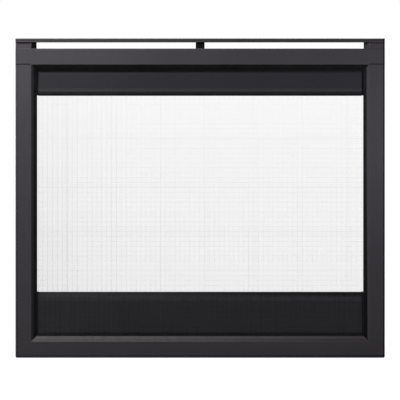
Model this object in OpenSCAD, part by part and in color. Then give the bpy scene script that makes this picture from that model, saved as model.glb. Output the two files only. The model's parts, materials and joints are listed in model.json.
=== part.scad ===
// Screen front for a gas fireplace: a folded sheet steel frame with a see-through header,
// and a lift-out insert that carries the wire mesh and the two cover panels behind it.
// Z is up, the front faces -Y, and the origin is under the middle of the bottom rail.

/* [Overall size] */
// Width over both stiles
front_w = 1041; // [840:1:1300]
// Height from the hearth to the top of the header strip
front_h = 900; // [700:1:1100]
// Depth of the side walls behind the stile faces
side_depth = 48; // [46:1:70]

/* [Sheet metal] */
// Thickness of the frame's sheet
frame_t = 1.5; // [1.2:0.1:2]
// Thickness of the sheet in the insert and its panels
insert_t = 1.2; // [0.8:0.1:1.5]
// Thickness of brackets, gussets and screen rests
bracket_t = 2; // [1.5:0.1:2.5]
// Outside radius of the long front bends of the stiles and the bottom rail
bend_r = 3; // [2.5:0.1:4.5]
// Outside radius of the small bends
fold_r = 2.4; // [2.1:0.1:2.5]
// Outside radius of the frame's two bottom corners
corner_r = 5; // [4.6:0.1:8]

/* [Frame faces] */
// Width of a stile's face
stile_face = 43; // [38:0.5:60]
// Height of the top and bottom rails' faces
rail_face = 45; // [40:0.5:60]
// Width of the outer bevel round the opening, seen from the front
bevel_w = 8.5; // [6:0.5:11]
// Depth of the outer bevel
bevel_depth = 7; // [4:0.5:8]
// Width of the steeper inner bevel, seen from the front
inner_bevel_w = 8; // [4:0.5:9]
// Depth of the inner bevel
inner_bevel_depth = 10; // [8:0.5:14]
// Width of the seat that is folded back behind the bevels
seat_w = 29; // [22:0.5:32]

/* [Header] */
// Height of the header strip's front lip
strip_lip = 10; // [8:0.5:16]
// How far the strip's lip stands in front of the stile faces
strip_proud = 3; // [2.5:0.1:5]
// Height of the two slots below the header strip
slot_h = 18.3; // [12:0.1:30]
// Depth of the top rail's return at the foot of the slots
rail_return = 28; // [26:0.5:34]
// Width of the centre post
post_w = 25; // [18:0.5:40]
// How far the post stands back from the stile faces
post_recess = 6; // [4:0.5:9]
// Depth of the centre post
post_depth = 20; // [16:0.5:20]

/* [Screen insert] */
// How far the insert's edge shows inside the frame's opening
reveal = 1; // [0.5:0.5:6]
// Depth of the insert's members
member_depth = 16; // [13:0.5:18]
// Width of the members' back legs
back_leg = 12; // [10:0.5:14]
// Width of the retainer strips that clamp the mesh
retainer_w = 20; // [16:0.5:22]
// Thickness of the retainer strips
retainer_t = 1.5; // [1:0.1:2]
// Thickness of the mesh
mesh_t = 1; // [0.8:0.1:1.5]
// Width of the mesh's doubled hem under the retainers
hem_w = 18; // [15:0.5:20]
// Width of one bar of the simplified net
net_bar = 2; // [1.5:0.1:4]
// Gaps of the net across the opening
net_across = 20; // [4:1:20]
// Gaps of the net up the opening
net_up = 15; // [4:1:15]
// Screws along each upright retainer
screws_up = 6; // [3:1:9]
// Screws along each level retainer
screws_across = 7; // [3:1:9]

/* [Cover panels] */
// Height of the upper panel that shows below the insert's top member
upper_band = 69; // [45:0.5:120]
// Height of the lower panel that shows above the insert's bottom member
lower_band = 123.8; // [90:0.1:180]
// Drop of the upper panel's back-slanted lip
upper_lip = 10; // [6:0.5:16]
// Rise of the lower panel's back-slanted lip
lower_lip = 20; // [12:0.5:26]
// Gap between a panel's sides and the insert's edges
panel_gap = 3.7; // [2:0.1:8]
// Gap between the lower panel's foot and the insert's bottom edge
foot_gap = 6.5; // [3:0.1:10]
// Distance from the mesh seat back to the panels' faces
panel_setback = 7; // [6.5:0.1:8]
// Radius of the panels' rolled lips
lip_r = 6; // [3:0.5:9]

/* [Wall brackets] */
// Height of a wall bracket
bracket_h = 90; // [84:1:140]
// Width of a bracket's back leg
bracket_leg = 24; // [20:0.5:25]
// Travel of a bracket out of the frame's back
bracket_travel = 15; // [8:0.5:15]
// Distance from a bracket's middle to the nearer rail's face
bracket_inset = 120; // [100:1:200]
// Distance between the two clamping studs of a bracket
stud_pitch = 64; // [62:1:72]
// Distance between the two wall screw slots of a bracket
wall_slot_pitch = 28; // [24:1:30]
// Width of a wall screw slot
wall_slot_w = 5.5; // [4.5:0.1:7]
// Length of a wall screw slot from end to end
wall_slot_len = 14; // [10:0.5:16]

/* [Catches and rests] */
// Distance from the middle of the front to each magnetic catch
catch_x = 300; // [120:5:320]
// Width of a magnet
magnet_w = 36; // [24:1:60]
// Height of a magnet
magnet_h = 17; // [14:0.5:18]
// Thickness of a magnet
magnet_t = 14; // [10:0.5:16]
// Width of a screen rest's shelf
rest_w = 52; // [46:1:80]
// Height of the guide ear at a screen rest's outer end
ear_h = 13; // [6:0.5:20]

/* [Fasteners] */
// Radius of the clamping and gusset studs
stud_r = 2.5; // [2:0.1:2.6]
// Width over the flats of their nuts
nut_flats = 8; // [7:0.1:8.5]
// Height of their nuts
nut_h = 4; // [3:0.1:4.5]
// Radius of the small studs on the top rail
small_stud_r = 2; // [1.5:0.1:2.2]
// Width over the flats of the small nuts
small_nut_flats = 7; // [5.5:0.1:7.5]
// Height of the small nuts
small_nut_h = 3.2; // [2.4:0.1:3.6]
// Radius of a washer
washer_r = 5; // [4.6:0.1:5.5]
// Thickness of a washer
washer_t = 1; // [0.8:0.1:1.5]
// Radius of the screws' shanks
screw_r = 1.6; // [1.3:0.1:1.9]
// Radius of the screws' heads
screw_head_r = 3.1; // [2.6:0.1:3.4]
// Height of the screws' heads
screw_head_h = 1.6; // [1.2:0.1:1.8]

/* [Clearances] */
// Gap between parts that pass each other closely
pass_gap = 0.3; // [0.2:0.05:0.5]
// Side play of the insert between its guide ears
guide_gap = 0.8; // [0.4:0.1:1.5]
// Play round a stud or a screw in a hole
hole_gap = 0.2; // [0.1:0.05:0.4]
// Play between a thread and its nut
thread_gap = 0.05; // [0.03:0.01:0.1]

/* [Hidden] */
$fn = 32;
bend_steps = 5;

// Where the stile faces lie along Y, with the part's depth centred on the origin
face_y = (strip_proud - side_depth) / 2;
half_w = front_w / 2;
wall_x = half_w - frame_t;

// Heights of the frame
strip_under = front_h - frame_t;
slot_top = front_h - strip_lip;
top_rail_top = slot_top - slot_h;
top_rail_foot = top_rail_top - rail_face;

// The opening inside the bevels, and the seat behind them
bevels_w = bevel_w + inner_bevel_w;
seat_depth = bevel_depth + inner_bevel_depth;
face_edge_x = half_w - stile_face;
opening_x = face_edge_x - bevels_w;
opening_foot = rail_face + bevels_w;
opening_top = top_rail_foot - bevels_w;

// The insert, outside and inside
insert_x = opening_x + seat_w;
insert_foot = opening_foot - seat_w;
insert_top = opening_top + seat_w;
view_x = opening_x - reveal;
view_foot = opening_foot + reveal;
view_top = opening_top - reveal;
insert_back = seat_depth + member_depth;
member_leg = seat_w + reveal;

// Layers behind the insert's front legs
mesh_front = seat_depth + insert_t;
mesh_back = mesh_front + mesh_t;
retainer_back = mesh_back + retainer_t;
layer_edge = fold_r + pass_gap;
mesh_x = insert_x - layer_edge;
mesh_foot = insert_foot + layer_edge;
mesh_top = insert_top - layer_edge;
retainer_middle = layer_edge + retainer_w / 2;
end_screw_inset = 55;
panel_face = seat_depth + panel_setback;
upper_lip_back = 10;
lower_lip_back = 12;

// How far a bevel's strip runs on into the face, and how far short of its edge the face stops
face_lap = 5;
face_join = 1;

// Gussets
gusset_front = 8;
gusset_w = 22;
gusset_leg = 23;
gusset_up = 40;
gusset_down = 60;
gusset_middle = gusset_front + gusset_w / 2;
gusset_foot_stud_x = wall_x - 13;
corner_stud_z = corner_r + 20;
lower_gusset_stud_z = [rail_face + 13, rail_face + 30];
upper_gusset_stud_z = [strip_under - 22, strip_under - 45];
gusset_screw_x = [wall_x - 10, wall_x - 19];
stud_tip = 1.5;

// Studs that join the top rail to the stiles, and the screws of the centre post
rail_stud_x = half_w - stile_face / 2;
rail_stud_inset = 11;
rail_stud_z = [top_rail_foot + rail_stud_inset, top_rail_top - rail_stud_inset];
small_stud = small_nut_h + stud_tip;
post_screw_d = post_recess + post_depth / 2;

// Wall brackets and the studs that clamp them
bracket_front = seat_depth;
bracket_foot_z = rail_face + bracket_inset;
bracket_top_z = top_rail_foot - bracket_inset;
stud_back = 9;
stud_d = side_depth - stud_back;
slot_middle = stud_d - bracket_travel / 2;
wall_slot_x = wall_x - bracket_leg / 2 - 1;

// Screen rests
rest_front = seat_depth + 3;
rest_foot_depth = 24;
rest_shelf_depth = 16;
rest_outer_x = insert_x + guide_gap + frame_t;
rest_stud_inset = 17;
rest_stud_step = 20;
rest_stud_x = [rest_outer_x - rest_stud_inset, rest_outer_x - rest_stud_inset - rest_stud_step];
rest_stud_d = rest_front + 14;

// Catches
catch_foot = insert_top + 4;
catch_top = catch_foot + magnet_h + 2 * frame_t;
catch_middle = (catch_foot + catch_top) / 2;
catch_holder_w = magnet_w + 4;
catch_stud_step = 24;
catch_arm_back = insert_back - 0.5;

// Strike plates
strike_foot = insert_top - back_leg + 1;
strike_rivet_z = insert_top - back_leg / 2;
strike_rivet_step = 20;

// Corner plates of the insert
plate_arm = 32;
plate_clear = plate_arm + 1;
plate_screw = plate_arm - 8;

// Upper panel and lower panel
panel_x = view_x - panel_gap;
upper_panel_foot = view_top - upper_band;
upper_panel_top = view_top + 12;
lower_panel_foot = view_foot + foot_gap;
lower_panel_top = view_foot + lower_band;
flange_x = insert_x - 2;
flange_step_x = insert_x - back_leg - 2;
flange_screw_x = insert_x - back_leg / 2;
flange_screw_inset = 12;
flange_screw_z = [
    upper_panel_foot + flange_screw_inset, insert_top - plate_clear - flange_screw_inset,
    lower_panel_foot + flange_screw_inset, lower_panel_top - flange_screw_inset,
];
foot_flange_z = insert_foot + 3;
foot_screw_z = insert_foot + back_leg / 2;
foot_screw_x = [for (i = [-2 : 2]) i * panel_x * 0.43];

// A direction, a quarter turn of one, and a turn by an angle
function unit(v) = v / norm(v);
function quarter_turn(v) = [-v[1], v[0]];
function turned(v, a) = [v[0] * cos(a) - v[1] * sin(a), v[0] * sin(a) + v[1] * cos(a)];

// The arc that rounds corner b of a path from a to c
function bend(a, b, c, r) =
    let (
        u = unit(a - b),
        v = unit(c - b),
        half = acos(u * v) / 2,
        centre = b + unit(u + v) * r / sin(half),
        start = b + u * r / tan(half),
        sweep = (180 - 2 * half) * sign(cross(v, u))
    )
    [for (k = [0 : bend_steps]) centre + turned(start - centre, sweep * k / bend_steps)];

// A path from corners given as [across, depth, outside radius]
function spot(c) = [c[0], c[1]];
function fold_path(c) = [
    for (i = [0 : len(c) - 1])
        each (i == 0 || i == len(c) - 1 || c[i][2] == 0)
            ? [spot(c[i])]
            : bend(spot(c[i - 1]), spot(c[i]), spot(c[i + 1]), c[i][2])
];

// The same path on the sheet's other side, t to the left of the way it runs
function side_normal(p, i) = quarter_turn(unit(p[i + 1] - p[i]));
function mitred(p, i, t) =
    let (a = side_normal(p, i - 1), b = side_normal(p, i)) p[i] + t * (a + b) / (1 + a * b);
function other_side(p, t) = [
    for (i = [0 : len(p) - 1])
        i == 0 ? p[0] + t * side_normal(p, 0)
        : i == len(p) - 1 ? p[i] + t * side_normal(p, i - 1)
        : mitred(p, i, t)
];
function backwards(p) = [for (i = [len(p) - 1 : -1 : 0]) p[i]];

// Evenly spaced places between two ends
function spread(low, high, count) = [for (i = [0 : count - 1]) low + (high - low) * i / (count - 1)];

// The section of a folded sheet
module sheet(corners, t) {
    path = fold_path(corners);
    polygon(concat(path, backwards(other_side(path, t))));
}

// Everything is drawn with the stile faces at Y = 0 and then set in place
module in_place() {
    translate([0, face_y, 0]) children();
}

// A section of [height, depth] drawn out along X
module across(length) {
    rotate([0, -90, 0])
        translate([0, 0, -length / 2])
            linear_extrude(length) children();
}

// An outline of [X, Z] drawn out from one depth to another
module through(front, back) {
    translate([0, back, 0])
        rotate([90, 0, 0])
            linear_extrude(back - front) children();
}

// A block from its low corner to its high corner
module block(low, high) {
    translate(low) cube(high - low);
}

// Copies at both sides of the middle
module both_sides() {
    children();
    mirror([1, 0, 0]) children();
}

// A rod that points inwards from the left side wall
module side_rod(r, height, depth, start_x, length) {
    translate([start_x, depth, height]) rotate([0, 90, 0]) cylinder(r = r, h = length);
}

// A rod that points to the back
module back_rod(r, x, height, start, length) {
    translate([x, start, height]) rotate([-90, 0, 0]) cylinder(r = r, h = length);
}

// A hexagon nut round the origin, standing on Z = 0
module nut(flats, h, thread_r) {
    difference() {
        cylinder(d = flats / cos(30), h = h, $fn = 6);
        translate([0, 0, -1]) cylinder(r = thread_r + thread_gap, h = h + 2);
    }
}

// A pan head screw whose head stands on Z = 0 and whose shank points down
module pan_screw(length) {
    cylinder(r = screw_head_r, h = screw_head_h);
    translate([0, 0, -length]) cylinder(r = screw_r, h = length + screw_head_h / 2);
}

// A pan head screw driven from the back towards the front
module front_screw(x, height, head, length) {
    translate([x, head, height]) rotate([-90, 0, 0]) pan_screw(length);
}

// A slot through a leg, from one end's centre to the other's, cut along the local Z
module slot(r, length, deep) {
    linear_extrude(deep) {
        translate([-length / 2, 0]) circle(r);
        translate([length / 2, 0]) circle(r);
        square([length, 2 * r], center = true);
    }
}

// Frame members

// The bevels and the seat, from a short stretch of face; edge is the face's inner edge
function bevel_corners(edge, face) = [
    [edge - face_lap, face, 0],
    [edge, face, fold_r],
    [edge + bevel_w, bevel_depth, fold_r],
    [edge + bevels_w, seat_depth, 0],
    [edge + bevels_w - seat_w, seat_depth, 0],
];

// The stile's share of the mitred bevels
module stile_mitre() {
    reach = seat_w + 1;
    polygon([
        [-opening_x, opening_foot],
        [-opening_x, opening_top],
        [-opening_x - reach, opening_top + reach],
        [-opening_x - reach, opening_foot - reach],
    ]);
}

// A rail's share of the mitred bevels, for an opening edge at the given height
module rail_mitre(edge, way) {
    reach = seat_w + 1;
    polygon([
        [-opening_x, edge],
        [opening_x, edge],
        [opening_x + reach, edge + way * reach],
        [-opening_x - reach, edge + way * reach],
    ]);
}

// The clamping studs of one bracket, inside the left side wall
module bracket_stud_places(height) {
    for (step = [-1, 1]) translate([0, 0, height + step * stud_pitch / 2]) children();
}

module stile() {
    translate([-half_w, 0, rail_face])
        linear_extrude(strip_under - rail_face)
            sheet([[0, side_depth, 0], [0, 0, bend_r], [stile_face - face_join, 0, 0]], frame_t);
    difference() {
        intersection() {
            translate([-half_w, 0, 0])
                linear_extrude(front_h) sheet(bevel_corners(stile_face, 0), frame_t);
            through(-1, side_depth) stile_mitre();
        }
        block([-half_w, -1, 0], [-face_edge_x, bevel_depth, rail_face]);
    }
    header_corners = bevel_corners(stile_face, 0);
    translate([-half_w, 0, insert_top + frame_t])
        linear_extrude(strip_under - insert_top - frame_t)
            sheet([for (i = [0 : 3]) header_corners[i]], frame_t);
    gusset_stud_length = bracket_t + nut_h + stud_tip;
    for (z = concat(lower_gusset_stud_z, upper_gusset_stud_z))
        side_rod(stud_r, z, gusset_middle, -wall_x - frame_t / 2, gusset_stud_length + frame_t / 2);
    for (z = [bracket_foot_z, bracket_top_z])
        bracket_stud_places(z)
            side_rod(stud_r, 0, stud_d, -wall_x - frame_t / 2,
                bracket_t + washer_t + nut_h + stud_tip + frame_t / 2);
}

module drilled_stile() {
    difference() {
        stile();
        for (z = rail_stud_z) back_rod(small_stud_r + hole_gap, -rail_stud_x, z, -1, frame_t + 2);
    }
}

module left_stile() {
    color("#2f2f31") in_place() drilled_stile();
}

module right_stile() {
    color("#2f2f31") in_place() mirror([1, 0, 0]) drilled_stile();
}

module top_rail() {
    color("#2f2f31") in_place() {
        difference() {
            union() {
                block([-half_w, -frame_t, top_rail_foot], [half_w, 0, top_rail_top]);
                block([-opening_x + pass_gap, -frame_t, top_rail_top - frame_t],
                    [opening_x - pass_gap, rail_return, top_rail_top]);
            }
            translate([0, post_screw_d, top_rail_top - frame_t - 1])
                cylinder(r = screw_r + hole_gap, h = frame_t + 2);
        }
        intersection() {
            translate([0, 0, top_rail_top])
                mirror([0, 0, 1])
                    across(2 * insert_x) sheet(bevel_corners(rail_face, -frame_t), frame_t);
            through(-frame_t - 1, side_depth) rail_mitre(opening_top, 1);
        }
        for (z = rail_stud_z)
            both_sides()
                back_rod(small_stud_r, -rail_stud_x, z, -frame_t / 2, 1.5 * frame_t + small_stud);
        for (step = [-0.5, 0.5])
            both_sides()
                back_rod(small_stud_r, catch_x + step * catch_stud_step, catch_middle, -frame_t / 2,
                    1.5 * frame_t + small_stud);
    }
}

// The face and wall of the bottom rail, as a section of [distance from the outer edge, depth]
module rim_section(face_reach) {
    sheet([[0, side_depth, 0], [0, 0, bend_r], [face_reach, 0, 0]], frame_t);
}

module bottom_rail() {
    color("#2b2b2d") in_place() {
        across(front_w - 2 * corner_r) rim_section(rail_face - face_join);
        both_sides() {
            translate([-half_w, 0, corner_r]) linear_extrude(rail_face - corner_r) rim_section(corner_r);
            translate([-half_w + corner_r, 0, corner_r])
                rotate([90, 0, 0])
                    mirror([0, 0, 1])
                        rotate([0, 0, 180])
                            rotate_extrude(angle = 90)
                                translate([corner_r, 0]) mirror([1, 0]) rim_section(corner_r);
        }
        intersection() {
            across(2 * insert_x) sheet(bevel_corners(rail_face, 0), frame_t);
            through(-1, side_depth) rail_mitre(opening_foot, -1);
        }
        both_sides() {
            side_rod(stud_r, corner_stud_z, gusset_middle, -wall_x - frame_t / 2,
                bracket_t + nut_h + stud_tip + frame_t / 2);
            translate([-gusset_foot_stud_x, gusset_middle, frame_t / 2])
                cylinder(r = stud_r, h = frame_t / 2 + bracket_t + nut_h + stud_tip);
            for (x = rest_stud_x)
                translate([-x, rest_stud_d, frame_t / 2])
                    cylinder(r = stud_r, h = frame_t / 2 + bracket_t + nut_h + stud_tip);
        }
    }
}

// Header

module header_strip() {
    color("#333335") in_place() {
        difference() {
            union() {
                translate([0, 0, front_h])
                    mirror([0, 0, 1])
                        across(front_w)
                            sheet([
                                [0, side_depth, 0],
                                [0, -strip_proud, fold_r],
                                [strip_lip, -strip_proud, 0],
                            ], frame_t);
                block([-wall_x + pass_gap, side_depth - frame_t, slot_top],
                    [wall_x - pass_gap, side_depth, front_h - frame_t / 2]);
            }
            both_sides()
                for (x = gusset_screw_x)
                    translate([-x, gusset_middle, strip_under - 1])
                        cylinder(r = screw_r + hole_gap, h = frame_t + 2);
            translate([0, post_screw_d, strip_under - 1])
                cylinder(r = screw_r + hole_gap, h = frame_t + 2);
        }
    }
}

module centre_post() {
    post_back = post_recess + post_depth;
    half_post = post_w / 2;
    color("#1b1b1d") in_place() {
        translate([0, 0, top_rail_top])
            linear_extrude(strip_under - top_rail_top)
                sheet([
                    [-half_post, post_back, 0],
                    [-half_post, post_recess, fold_r],
                    [half_post, post_recess, fold_r],
                    [half_post, post_back, 0],
                ], frame_t);
        for (z = [top_rail_top, strip_under - frame_t])
            difference() {
                block([-half_post + frame_t / 2, post_recess + frame_t / 2, z],
                    [half_post - frame_t / 2, post_back - frame_t, z + frame_t]);
                translate([0, post_screw_d, z - 1]) cylinder(r = screw_r + hole_gap, h = frame_t + 2);
            }
    }
}

// Screws from below, through the gussets and the post into the strip, and up into the post's foot
module header_screws() {
    color("#8f9092") in_place() {
        both_sides()
            for (x = gusset_screw_x)
                translate([-x, gusset_middle, strip_under - bracket_t])
                    mirror([0, 0, 1]) pan_screw(bracket_t + frame_t - 0.1);
        translate([0, post_screw_d, strip_under - frame_t])
            mirror([0, 0, 1]) pan_screw(2 * frame_t - 0.1);
        translate([0, post_screw_d, top_rail_top - frame_t]) mirror([0, 0, 1]) pan_screw(2 * frame_t);
    }
}

module rail_nuts() {
    color("#8f9092") in_place()
        both_sides()
            for (z = rail_stud_z)
                translate([-rail_stud_x, frame_t, z])
                    rotate([-90, 0, 0]) nut(small_nut_flats, small_nut_h, small_stud_r);
}

// Gussets

module upper_gusset() {
    difference() {
        through(gusset_front, gusset_front + gusset_w)
            sheet([
                [-wall_x, strip_under - gusset_down, 0],
                [-wall_x, strip_under, fold_r + bracket_t / 2],
                [-wall_x + gusset_leg, strip_under, 0],
            ], -bracket_t);
        for (z = upper_gusset_stud_z)
            side_rod(stud_r + hole_gap, z, gusset_middle, -wall_x - 1, bracket_t + 2);
        for (x = gusset_screw_x)
            translate([-x, gusset_middle, strip_under - bracket_t - 1])
                cylinder(r = screw_r + hole_gap, h = bracket_t + 2);
    }
}

module lower_gusset() {
    difference() {
        through(gusset_front, gusset_front + gusset_w)
            sheet([
                [-wall_x, rail_face + gusset_up, 0],
                [-wall_x, frame_t, corner_r],
                [-wall_x + gusset_leg, frame_t, 0],
            ], bracket_t);
        for (z = concat([corner_stud_z], lower_gusset_stud_z))
            side_rod(stud_r + hole_gap, z, gusset_middle, -wall_x - 1, bracket_t + 2);
        translate([-gusset_foot_stud_x, gusset_middle, frame_t - 1])
            cylinder(r = stud_r + hole_gap, h = bracket_t + 2);
    }
}

module upper_left_gusset() {
    color("#6f7072") in_place() upper_gusset();
}

module upper_right_gusset() {
    color("#6f7072") in_place() mirror([1, 0, 0]) upper_gusset();
}

module lower_left_gusset() {
    color("#6f7072") in_place() lower_gusset();
}

module lower_right_gusset() {
    color("#6f7072") in_place() mirror([1, 0, 0]) lower_gusset();
}

module gusset_nuts() {
    color("#8f9092") in_place()
        both_sides() {
            for (z = concat([corner_stud_z], lower_gusset_stud_z, upper_gusset_stud_z))
                translate([-wall_x + bracket_t, gusset_middle, z])
                    rotate([0, 90, 0]) nut(nut_flats, nut_h, stud_r);
            translate([-gusset_foot_stud_x, gusset_middle, frame_t + bracket_t])
                nut(nut_flats, nut_h, stud_r);
        }
}

// Screen rests, which carry the insert's bottom member between two guide ears

module screen_rest() {
    difference() {
        union() {
            translate([-rest_outer_x + rest_w / 2, 0, 0])
                across(rest_w)
                    sheet([
                        [frame_t, rest_front + rest_foot_depth, 0],
                        [frame_t, rest_front, fold_r + bracket_t / 2],
                        [insert_foot, rest_front, fold_r + bracket_t / 2],
                        [insert_foot, rest_front + rest_shelf_depth, 0],
                    ], bracket_t);
            block([-rest_outer_x, rest_front + bracket_t + fold_r, insert_foot - bracket_t],
                [-rest_outer_x + frame_t, rest_front + rest_shelf_depth, insert_foot + ear_h]);
        }
        for (x = rest_stud_x)
            translate([-x, rest_stud_d, frame_t - 1]) cylinder(r = stud_r + hole_gap, h = bracket_t + 2);
    }
}

module left_screen_rest() {
    color("#6f7072") in_place() screen_rest();
}

module right_screen_rest() {
    color("#6f7072") in_place() mirror([1, 0, 0]) screen_rest();
}

module rest_nuts() {
    color("#8f9092") in_place()
        both_sides()
            for (x = rest_stud_x)
                translate([-x, rest_stud_d, frame_t + bracket_t]) nut(nut_flats, nut_h, stud_r);
}

// Magnetic catches behind the top rail

module catch_holder() {
    difference() {
        translate([-catch_x, 0, 0])
            across(catch_holder_w)
                sheet([
                    [catch_foot, catch_arm_back, 0],
                    [catch_foot, 0, fold_r],
                    [catch_top, 0, fold_r],
                    [catch_top, catch_arm_back, 0],
                ], frame_t);
        for (step = [-0.5, 0.5])
            back_rod(small_stud_r + hole_gap, -catch_x + step * catch_stud_step, catch_middle, -1,
                frame_t + 2);
    }
}

module magnet() {
    block([-catch_x - magnet_w / 2, insert_back - magnet_t, catch_foot + frame_t],
        [-catch_x + magnet_w / 2, insert_back, catch_top - frame_t]);
}

module left_catch_holder() {
    color("#6f7072") in_place() catch_holder();
}

module right_catch_holder() {
    color("#6f7072") in_place() mirror([1, 0, 0]) catch_holder();
}

module left_magnet() {
    color("#3a3836") in_place() magnet();
}

module right_magnet() {
    color("#3a3836") in_place() mirror([1, 0, 0]) magnet();
}

module catch_nuts() {
    color("#8f9092") in_place()
        both_sides()
            for (step = [-0.5, 0.5])
                translate([catch_x + step * catch_stud_step, frame_t, catch_middle])
                    rotate([-90, 0, 0]) nut(small_nut_flats, small_nut_h, small_stud_r);
}

// Wall brackets, which slide out of the frame's back under their washers

module wall_bracket(height) {
    difference() {
        translate([0, 0, height - bracket_h / 2])
            linear_extrude(bracket_h)
                sheet([
                    [-wall_x, bracket_front, 0],
                    [-wall_x, side_depth, fold_r + bracket_t / 2],
                    [-wall_x + bracket_leg, side_depth, 0],
                ], -bracket_t);
        bracket_stud_places(height)
            translate([-wall_x - 1, slot_middle, 0])
                rotate([90, 0, 90]) slot(stud_r + hole_gap, bracket_travel, bracket_t + 2);
        for (step = [-1, 1])
            translate([-wall_slot_x, side_depth - bracket_t - 1, height + step * wall_slot_pitch / 2])
                rotate([-90, -90, 0])
                    slot(wall_slot_w / 2, wall_slot_len - wall_slot_w, bracket_t + 2);
    }
}

module upper_left_bracket() {
    color("#7c7d80") in_place() wall_bracket(bracket_top_z);
}

module upper_right_bracket() {
    color("#7c7d80") in_place() mirror([1, 0, 0]) wall_bracket(bracket_top_z);
}

module lower_left_bracket() {
    color("#7c7d80") in_place() wall_bracket(bracket_foot_z);
}

module lower_right_bracket() {
    color("#7c7d80") in_place() mirror([1, 0, 0]) wall_bracket(bracket_foot_z);
}

module bracket_washers() {
    color("#a2a3a5") in_place()
        both_sides()
            for (z = [bracket_foot_z, bracket_top_z])
                bracket_stud_places(z)
                    difference() {
                        side_rod(washer_r, 0, stud_d, -wall_x + bracket_t, washer_t);
                        side_rod(stud_r + hole_gap, 0, stud_d, -wall_x + bracket_t - 1, washer_t + 2);
                    }
}

module bracket_nuts() {
    color("#8f9092") in_place()
        both_sides()
            for (z = [bracket_foot_z, bracket_top_z])
                bracket_stud_places(z)
                    translate([-wall_x + bracket_t + washer_t, stud_d, 0])
                        rotate([0, 90, 0]) nut(nut_flats, nut_h, stud_r);
}

// The insert's frame

member_corners = [
    [back_leg, insert_back, 0],
    [0, insert_back, fold_r],
    [0, seat_depth, fold_r],
    [member_leg, seat_depth, 0],
];
upright_screw_z = spread(insert_foot + end_screw_inset, insert_top - end_screw_inset, screws_up);
level_screw_x = spread(-insert_x + end_screw_inset, insert_x - end_screw_inset, screws_across);

// The triangle of the insert that belongs to an upright member
module upright_share() {
    polygon([
        [-insert_x, insert_foot],
        [-insert_x, insert_top],
        [-insert_x + member_leg, insert_top - member_leg],
        [-insert_x + member_leg, insert_foot + member_leg],
    ]);
}

module level_share(edge, way) {
    polygon([
        [-insert_x, edge],
        [insert_x, edge],
        [insert_x - member_leg, edge + way * member_leg],
        [-insert_x + member_leg, edge + way * member_leg],
    ]);
}

module corner_plate_holes() {
    for (z = [insert_foot, insert_top])
        both_sides() {
            way = z == insert_foot ? 1 : -1;
            back_leg_hole(-insert_x + back_leg / 2, z + way * plate_screw);
            back_leg_hole(-insert_x + plate_screw, z + way * back_leg / 2);
        }
}

// A screw hole through a back leg and whatever lies behind it
module back_leg_hole(x, z) {
    back_rod(screw_r + hole_gap, x, z, insert_back - insert_t - 1, 2 * frame_t + insert_t + 2);
}

module insert_upright() {
    difference() {
        intersection() {
            translate([-insert_x, 0, insert_foot]) linear_extrude(insert_top - insert_foot)
                sheet(member_corners, insert_t);
            through(seat_depth - 1, insert_back + 1) upright_share();
        }
        for (z = upright_screw_z) screw_hole_to_front_layer(-insert_x + retainer_middle, z);
        for (z = flange_screw_z) back_leg_hole(-flange_screw_x, z);
        corner_plate_holes();
    }
}

// A hole through the front leg, the mesh and the retainer only
module screw_hole_to_front_layer(x, z) {
    back_rod(screw_r + hole_gap, x, z, seat_depth - 1, retainer_back - seat_depth + 2);
}

module insert_left_member() {
    color("#232325") in_place() insert_upright();
}

module insert_right_member() {
    color("#232325") in_place() mirror([1, 0, 0]) insert_upright();
}

module insert_bottom_member() {
    color("#232325") in_place()
        difference() {
            intersection() {
                translate([0, 0, insert_foot]) across(2 * insert_x) sheet(member_corners, insert_t);
                through(seat_depth - 1, insert_back + 1) level_share(insert_foot, 1);
            }
            for (x = level_screw_x) screw_hole_to_front_layer(x, insert_foot + retainer_middle);
            for (x = foot_screw_x) back_leg_hole(x, foot_screw_z);
            corner_plate_holes();
        }
}

module insert_top_member() {
    color("#232325") in_place()
        difference() {
            intersection() {
                translate([0, 0, insert_top])
                    mirror([0, 0, 1]) across(2 * insert_x) sheet(member_corners, insert_t);
                through(seat_depth - 1, insert_back + 1) level_share(insert_top, -1);
            }
            for (x = level_screw_x) screw_hole_to_front_layer(x, insert_top - retainer_middle);
            corner_plate_holes();
            strike_rivet_holes();
        }
}

// Flat plates behind the insert's mitred corners
module corner_plates() {
    color("#6f7072") in_place()
        difference() {
            for (z = [insert_foot, insert_top]) {
                way = z == insert_foot ? 1 : -1;
                both_sides()
                    through(insert_back, insert_back + frame_t)
                        polygon([
                            [-insert_x, z],
                            [-insert_x + plate_arm, z],
                            [-insert_x + plate_arm, z + way * back_leg],
                            [-insert_x + back_leg, z + way * back_leg],
                            [-insert_x + back_leg, z + way * plate_arm],
                            [-insert_x, z + way * plate_arm],
                        ]);
            }
            corner_plate_holes();
        }
}

module corner_plate_screws() {
    head = insert_back + frame_t;
    length = frame_t + insert_t + 1;
    color("#8f9092") in_place()
        for (z = [insert_foot, insert_top])
            both_sides() {
                way = z == insert_foot ? 1 : -1;
                front_screw(-insert_x + back_leg / 2, z + way * plate_screw, head, length);
                front_screw(-insert_x + plate_screw, z + way * back_leg / 2, head, length);
            }
}

// The mesh, as a coarse net inside its doubled hem

module screen_mesh() {
    net_x = mesh_x - hem_w;
    net_foot = mesh_foot + hem_w;
    net_top = mesh_top - hem_w;
    step_x = (2 * net_x + net_bar) / net_across;
    step_z = (net_top - net_foot + net_bar) / net_up;
    color("#1d1d1f") in_place()
        difference() {
            through(mesh_front, mesh_back)
                difference() {
                    translate([-mesh_x, mesh_foot]) square([2 * mesh_x, mesh_top - mesh_foot]);
                    for (i = [0 : net_across - 1], k = [0 : net_up - 1])
                        translate([-net_x + i * step_x, net_foot + k * step_z])
                            square([step_x - net_bar, step_z - net_bar]);
                }
            retainer_screw_places() translate([0, seat_depth - 1, 0])
                rotate([-90, 0, 0]) cylinder(r = screw_r + hole_gap, h = member_depth - 1);
        }
}

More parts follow.
